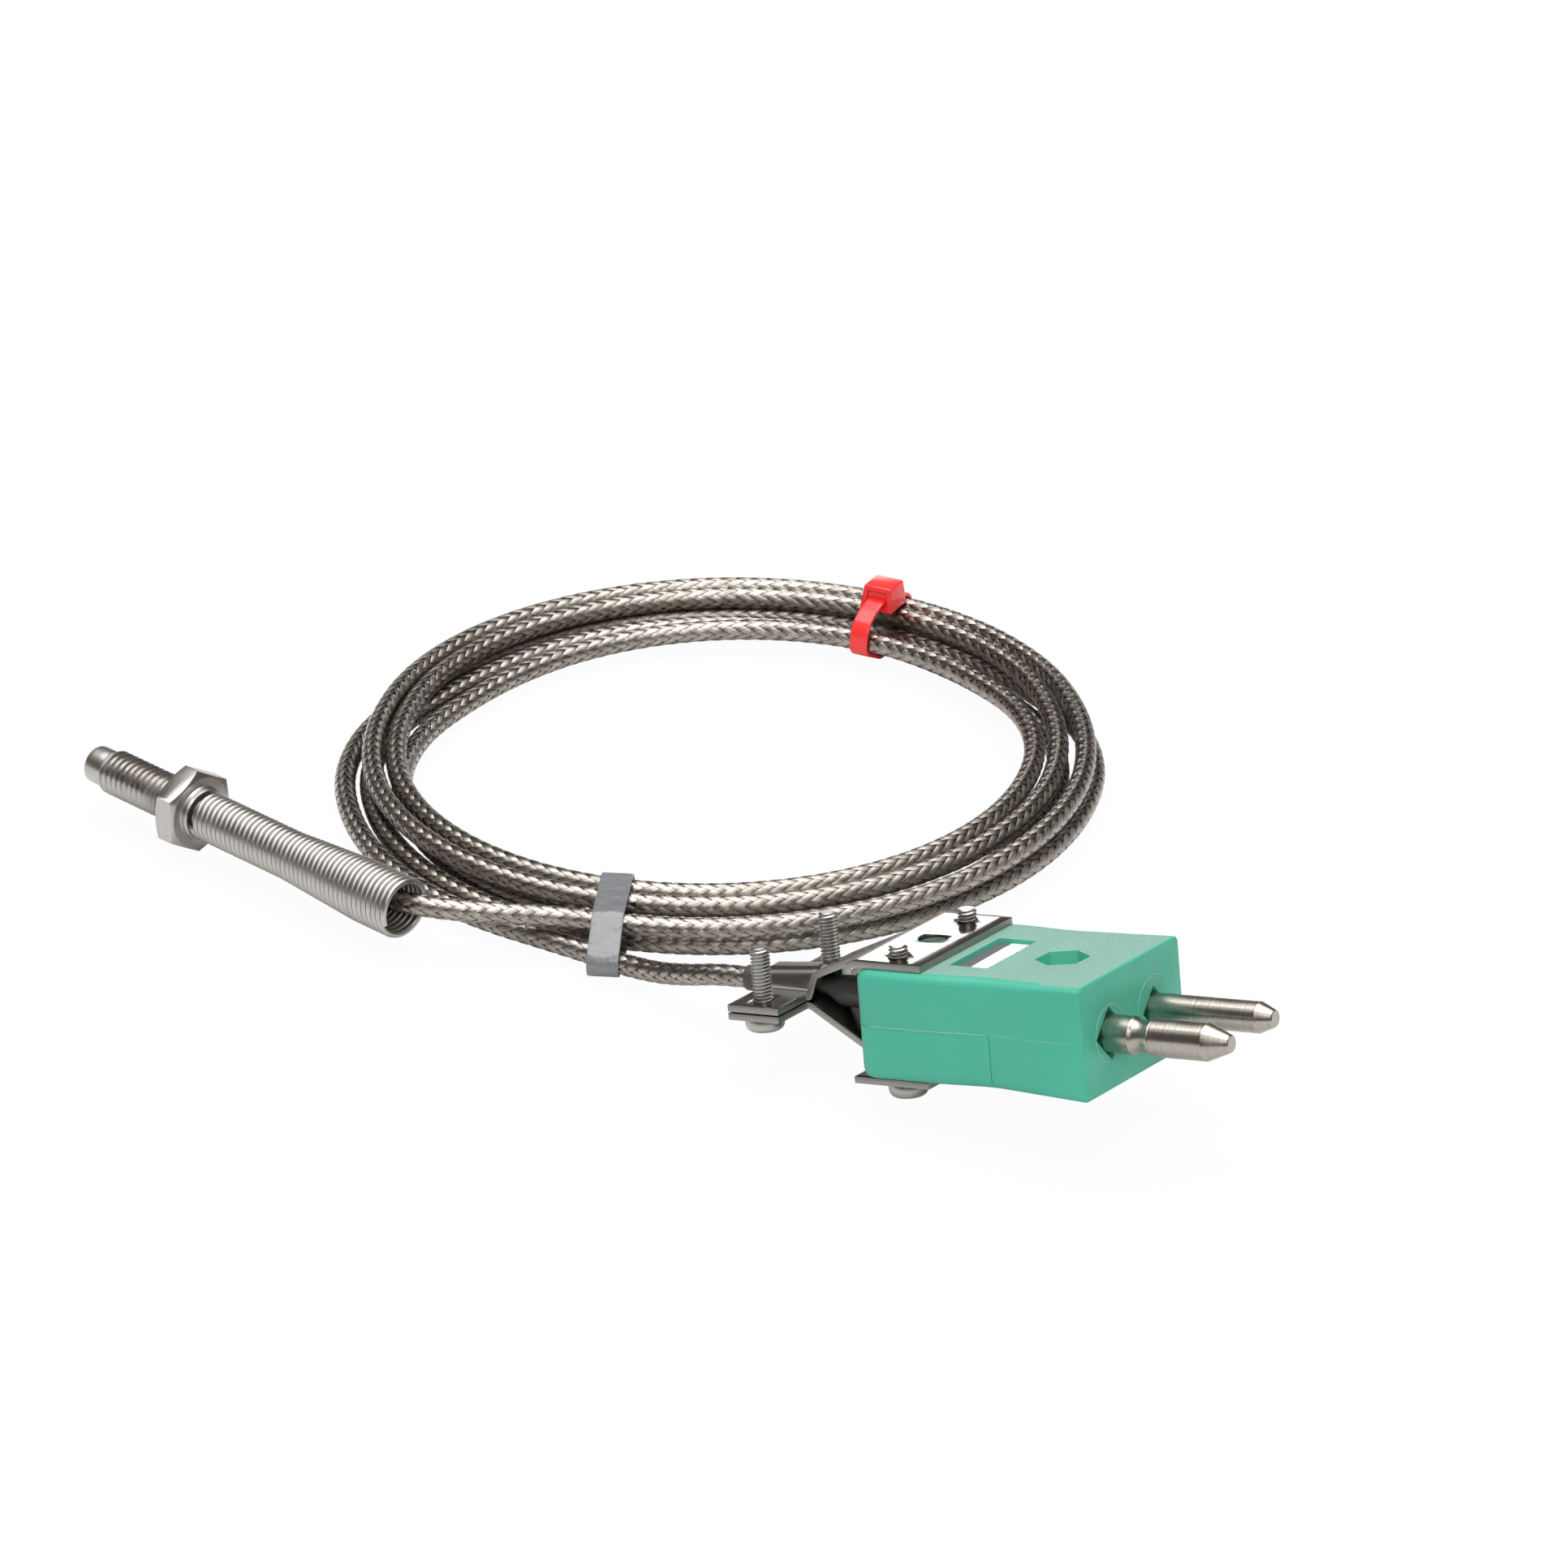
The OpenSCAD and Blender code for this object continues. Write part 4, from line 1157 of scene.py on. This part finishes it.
class THERMO_OT_screws(bpy.types.Operator):
    """Cut the clamp screws with their pan heads and cross recesses"""

    bl_idname = "thermocouple.screws"
    bl_label = "Clamp Screws"

    def execute(self, context):
        look = context.scene.thermo_plug
        axis, gap = tuple(UPWARD), 0.02
        steel = metal("bright screw steel", shade(look.plate, 1.9), 0.18, 0.3, axis, 2200, 0.000008, 300)
        painted_shade = metal("dull screw steel", shade(look.plate, 1.2), 0.26, 0.4, axis, 2200, 0.000008, 300)
        head = turned([(-1.9, 0.9), (-1.89, 1.5), (-1.8, 1.9), (-1.6, 2.2), (-1.25, 2.42), (-0.8, 2.5),
                       (-0.12, 2.5), (0, 2.4), (0, 1.0), (0.3, 1.0)], 48)
        for deg in (0, 90):
            slot = block((-2.5, -0.33, -1.3), (-1.0, 0.33, 1.3))
            slot.data.transform(rotation(deg, "X"))
            carve(head, slot)
        soften(head, 0.05, 40, 1)
        for at, under, tip, kind in (
            (JAW_SCREW, LOW_JAW_Z - PLATE_T - gap, 7.6, "jaw"),
            (BODY_SCREW, -TOP_Z - PLATE_T - gap, TOP_Z + PLATE_T + 1.6, "body"),
        ):
            shank = threaded(0.05, tip - under, 0.98, 1.24, 0.45, 0.28, 24)
            one = join(shank, twin(head))
            for material in (steel, painted_shade):
                one.data.materials.append(material)
            # Heads and thread valleys take the darker copy of the steel: painted shade
            for face in one.data.polygons:
                deep = 0.95 < hypot(face.center.y, face.center.z) < 1.09
                face.material_index = int(face.center.x < 0.1 or deep and abs(face.normal.x) < 0.95)
            for side, word in ((-1, "near"), (1, "far")):
                name = f"{word}_{kind}_screw"
                place = PLUG @ Matrix.Translation((at[0], side * at[1], under)) @ UPRIGHT
                set_down(twin(one), name + "_cut", place, name, "screw_steel", None, name, angle=40)
            bpy.data.objects.remove(one)
        bpy.data.objects.remove(head)
        return {"FINISHED"}


class THERMO_OT_sleeve(bpy.types.Operator):
    """Draw the black sleeve, squeezed in the clamp and swelling towards the plug"""

    bl_idname = "thermocouple.sleeve"
    bl_label = "Cable Sleeve"

    def execute(self, context):
        look = context.scene.thermo_plug
        flat_x, flat, r = (-52.2, -51.2, -43.2, -40.8), (1.8, 1.05), 1.65
        sleeve = turned([
            (-54.3, 1.25), (-54.7, 1.4), (SLEEVE_END, 1.52), (-54.75, 1.6), (-54.5, r), (-52.2, r),
            (-51.9, r), (-51.5, r), (-51.2, r), (-43.2, r), (-42.6, 1.75), (-42, 1.85), (-41.4, 1.94),
            (-40.8, 2), (-40, 2), (-28.8, 2), (-28.5, 1.8), (-28.5, 0.9),
        ], 40)

        def squeeze(co):
            reach = max(0.1, hypot(co.y, co.z))
            free = ease((co.x - flat_x[2]) / (flat_x[3] - flat_x[2]))
            held = ease((co.x - flat_x[0]) / (flat_x[1] - flat_x[0])) * (1 - free)
            co.y *= 1 + held * (flat[0] / reach - 1)
            co.z *= 1 + held * (flat[1] / reach - 1)
            co.z += SLEEVE_Z + (SLEEVE_FREE_Z - SLEEVE_Z) * free

        reshape(sleeve, squeeze)
        black = plastic("black sleeve", look.sleeve, 0.34, 0.5, 700, 0.00005, 0.2)
        set_down(sleeve, "sleeve_shrunk", PLUG, "root", "black_sleeve", black, "cable_sleeve", angle=50)
        return {"FINISHED"}


class THERMO_OT_inside(bpy.types.Operator):
    """Give the hidden pieces inside the bolt and the plug their materials"""

    bl_idname = "thermocouple.inside"
    bl_label = "Hidden Pieces"

    def execute(self, context):
        brass = metal("terminal brass", (0.7, 0.53, 0.25), 0.22, 0.36, (0, 0, 1), 2600)
        wire = metal("alloy wire", (0.6, 0.5, 0.4), 0.25, 0.4, (1, 0, 0), 3000)
        cement = plastic("white cement", (0.74, 0.71, 0.64), 0.8, 0.95, 1800, 0.0001, 0.12)
        finish = {"cement_fill": cement, "thermo_junction": wire}
        for side in ("positive", "negative"):
            finish[side + "_element"] = finish[side + "_core"] = wire
            finish[side + "_terminal_screw"] = finish[side + "_pressure_washer"] = brass
        for name, known in finish.items():
            mesh = NODES[name].data
            mesh.materials.clear()
            mesh.materials.append(known)
        return {"FINISHED"}


class THERMO_OT_cord(bpy.types.Operator):
    bl_idname = "thermocouple.cord"
    bl_label = "Declare Cord"

    def execute(self, context):
        names = [f"cable_braid_{i + 1}" for i in range(BRAID_PARTS)]
        names += ["tie_closed", "band_wrapped", "sleeve_shrunk", "plug_body_moulded", "plug_cover_moulded",
                  "label_blank", "positive_pin_turned", "negative_pin_turned", "upper_clamp_plate_pressed",
                  "lower_clamp_plate_pressed"]
        names += [f"{side}_{place}_screw_cut" for side in ("near", "far") for place in ("jaw", "body")]
        return {"FINISHED"}


def lamp(name, at, turn, power, *sides):
    """An area lamp with one side or two."""
    bpy.ops.object.light_add(type="AREA", location=at, rotation=turn)
    light = bpy.context.object
    light.name = name
    light.data.shape = "RECTANGLE" if len(sides) > 1 else "SQUARE"
    light.data.size, light.data.size_y = sides[0], sides[-1]
    light.data.energy = power
    return light


class THERMO_OT_stage(bpy.types.Operator):
    """Set the pale floor, the soft studio light and the camera"""

    bl_idname = "thermocouple.stage"
    bl_label = "Stage"

    def execute(self, context):
        scene = context.scene
        look = scene.thermo_stage
        scene.view_settings.view_transform = "Standard"
        floor_white, tent_r, tent_h, card_away, card_sides = 0.96, 0.6, 0.6, 0.25, (0.032, 0.032)
        floor = made("plane", size=6, location=(0.05, 0.04, -0.0002))
        floor.name = "floor"
        known, tree, shader = blank("pale floor", (0.7, 0.7, 0.7), 0.9)[:3]
        ray = tree.nodes.new("ShaderNodeLightPath").outputs
        glow = add(tree, "ShaderNodeEmission", {"Color": (1, 1, 1, 1), "Strength": 1})
        share = calc(tree, "MULTIPLY", ray["Is Camera Ray"], floor_white)
        both = add(tree, "ShaderNodeMixShader", {0: share, 1: shader.outputs[0], 2: glow})
        tree.links.new(both, tree.nodes["Material Output"].inputs["Surface"])
        floor.data.materials.append(known)
        scene.world = bpy.data.worlds.new("studio")
        scene.world.use_nodes = True
        tree = scene.world.node_tree
        ray = tree.nodes.new("ShaderNodeLightPath").outputs
        seen = calc(tree, "MAXIMUM", ray["Is Camera Ray"], ray["Is Glossy Ray"])
        seen = calc(tree, "MAXIMUM", seen, ray["Is Transmission Ray"])
        level = add(tree, "ShaderNodeMapRange", {"Value": seen, "To Min": look.fill, "To Max": 1})
        feed(tree, tree.nodes["Background"], {"Color": (1, 1, 1, 1), "Strength": level})
        lamp("key lamp", (-0.1, 0.15, 0.9), (0, 0, 0), look.key, 0.9)
        lamp("front lamp", (0.75, -0.55, 0.75), (radians(52), 0, radians(52)), look.key * 0.5, 0.4)
        tent = made("cylinder", vertices=72, radius=tent_r, depth=tent_h, end_fill_type="NOTHING",
                    location=(0.045, 0.05, tent_h / 2))
        tent.name = "dark tent"
        tent.data.materials.append(blank("dark tent", (0.08, 0.074, 0.068), 0.9)[0])
        for kind in ("camera", "diffuse", "shadow", "transmission"):
            setattr(tent, "visible_" + kind, False)
        bpy.ops.object.camera_add(
            location=(0.8388, -0.7417, 0.5704), rotation=(radians(63.5), 0, radians(45)))
        camera = context.object
        camera.data.lens = 223.6
        camera.data.sensor_width = 36
        scene.camera = camera
        flat = PLUG @ Vector((-25, 0, TOP_Z + PLATE_T))
        mirrored = (flat - camera.location).normalized().reflect(UPWARD)
        card = lamp("back card lamp", flat + card_away * mirrored,
                    (-mirrored).to_track_quat("-Z", "Y").to_euler(),
                    look.card * pi * card_sides[0] * card_sides[1], *card_sides)
        card.visible_camera = False
        return {"FINISHED"}


class THERMO_PT_panel(bpy.types.Panel):
    """Sidebar panel that lists the sizes, colours and pieces"""

    bl_idname = "THERMO_PT_panel"
    bl_label = "Bolt Thermocouple"
    bl_space_type = "VIEW_3D"
    bl_region_type = "UI"
    bl_category = "Thermocouple"

    def draw(self, context):
        for name in LOOKS:
            look = getattr(context.scene, name)
            box = self.layout.box()
            for key in look.bl_rna.properties.keys():
                if key not in ("rna_type", "name"):
                    box.prop(look, key)
        for step in STEPS:
            self.layout.operator(step.bl_idname)


STEPS = (
    THERMO_OT_stage, THERMO_OT_cable, THERMO_OT_bolt, THERMO_OT_spring, THERMO_OT_ties, THERMO_OT_plug,
    THERMO_OT_pins, THERMO_OT_plates, THERMO_OT_screws, THERMO_OT_sleeve, THERMO_OT_inside, THERMO_OT_cord,
)
LOOKS = {
    "thermo_probe": ProbeLook, "thermo_cable": CableLook, "thermo_plug": PlugLook, "thermo_stage": StageLook,
}


def register():
    """Register the settings, operators and panel."""
    for name, look in LOOKS.items():
        bpy.utils.register_class(look)
        setattr(bpy.types.Scene, name, bpy.props.PointerProperty(type=look))
    for known in (*STEPS, THERMO_PT_panel):
        bpy.utils.register_class(known)


def unregister():
    """Take them away again."""
    for known in (THERMO_PT_panel, *reversed(STEPS)):
        bpy.utils.unregister_class(known)
    for name, look in LOOKS.items():
        delattr(bpy.types.Scene, name)
        bpy.utils.unregister_class(look)


def main():
    """Register the steps and build everything in order."""
    register()
    for step in STEPS:
        family, name = step.bl_idname.split(".")
        getattr(getattr(bpy.ops, family), name)()


if __name__ == "__main__":
    main()
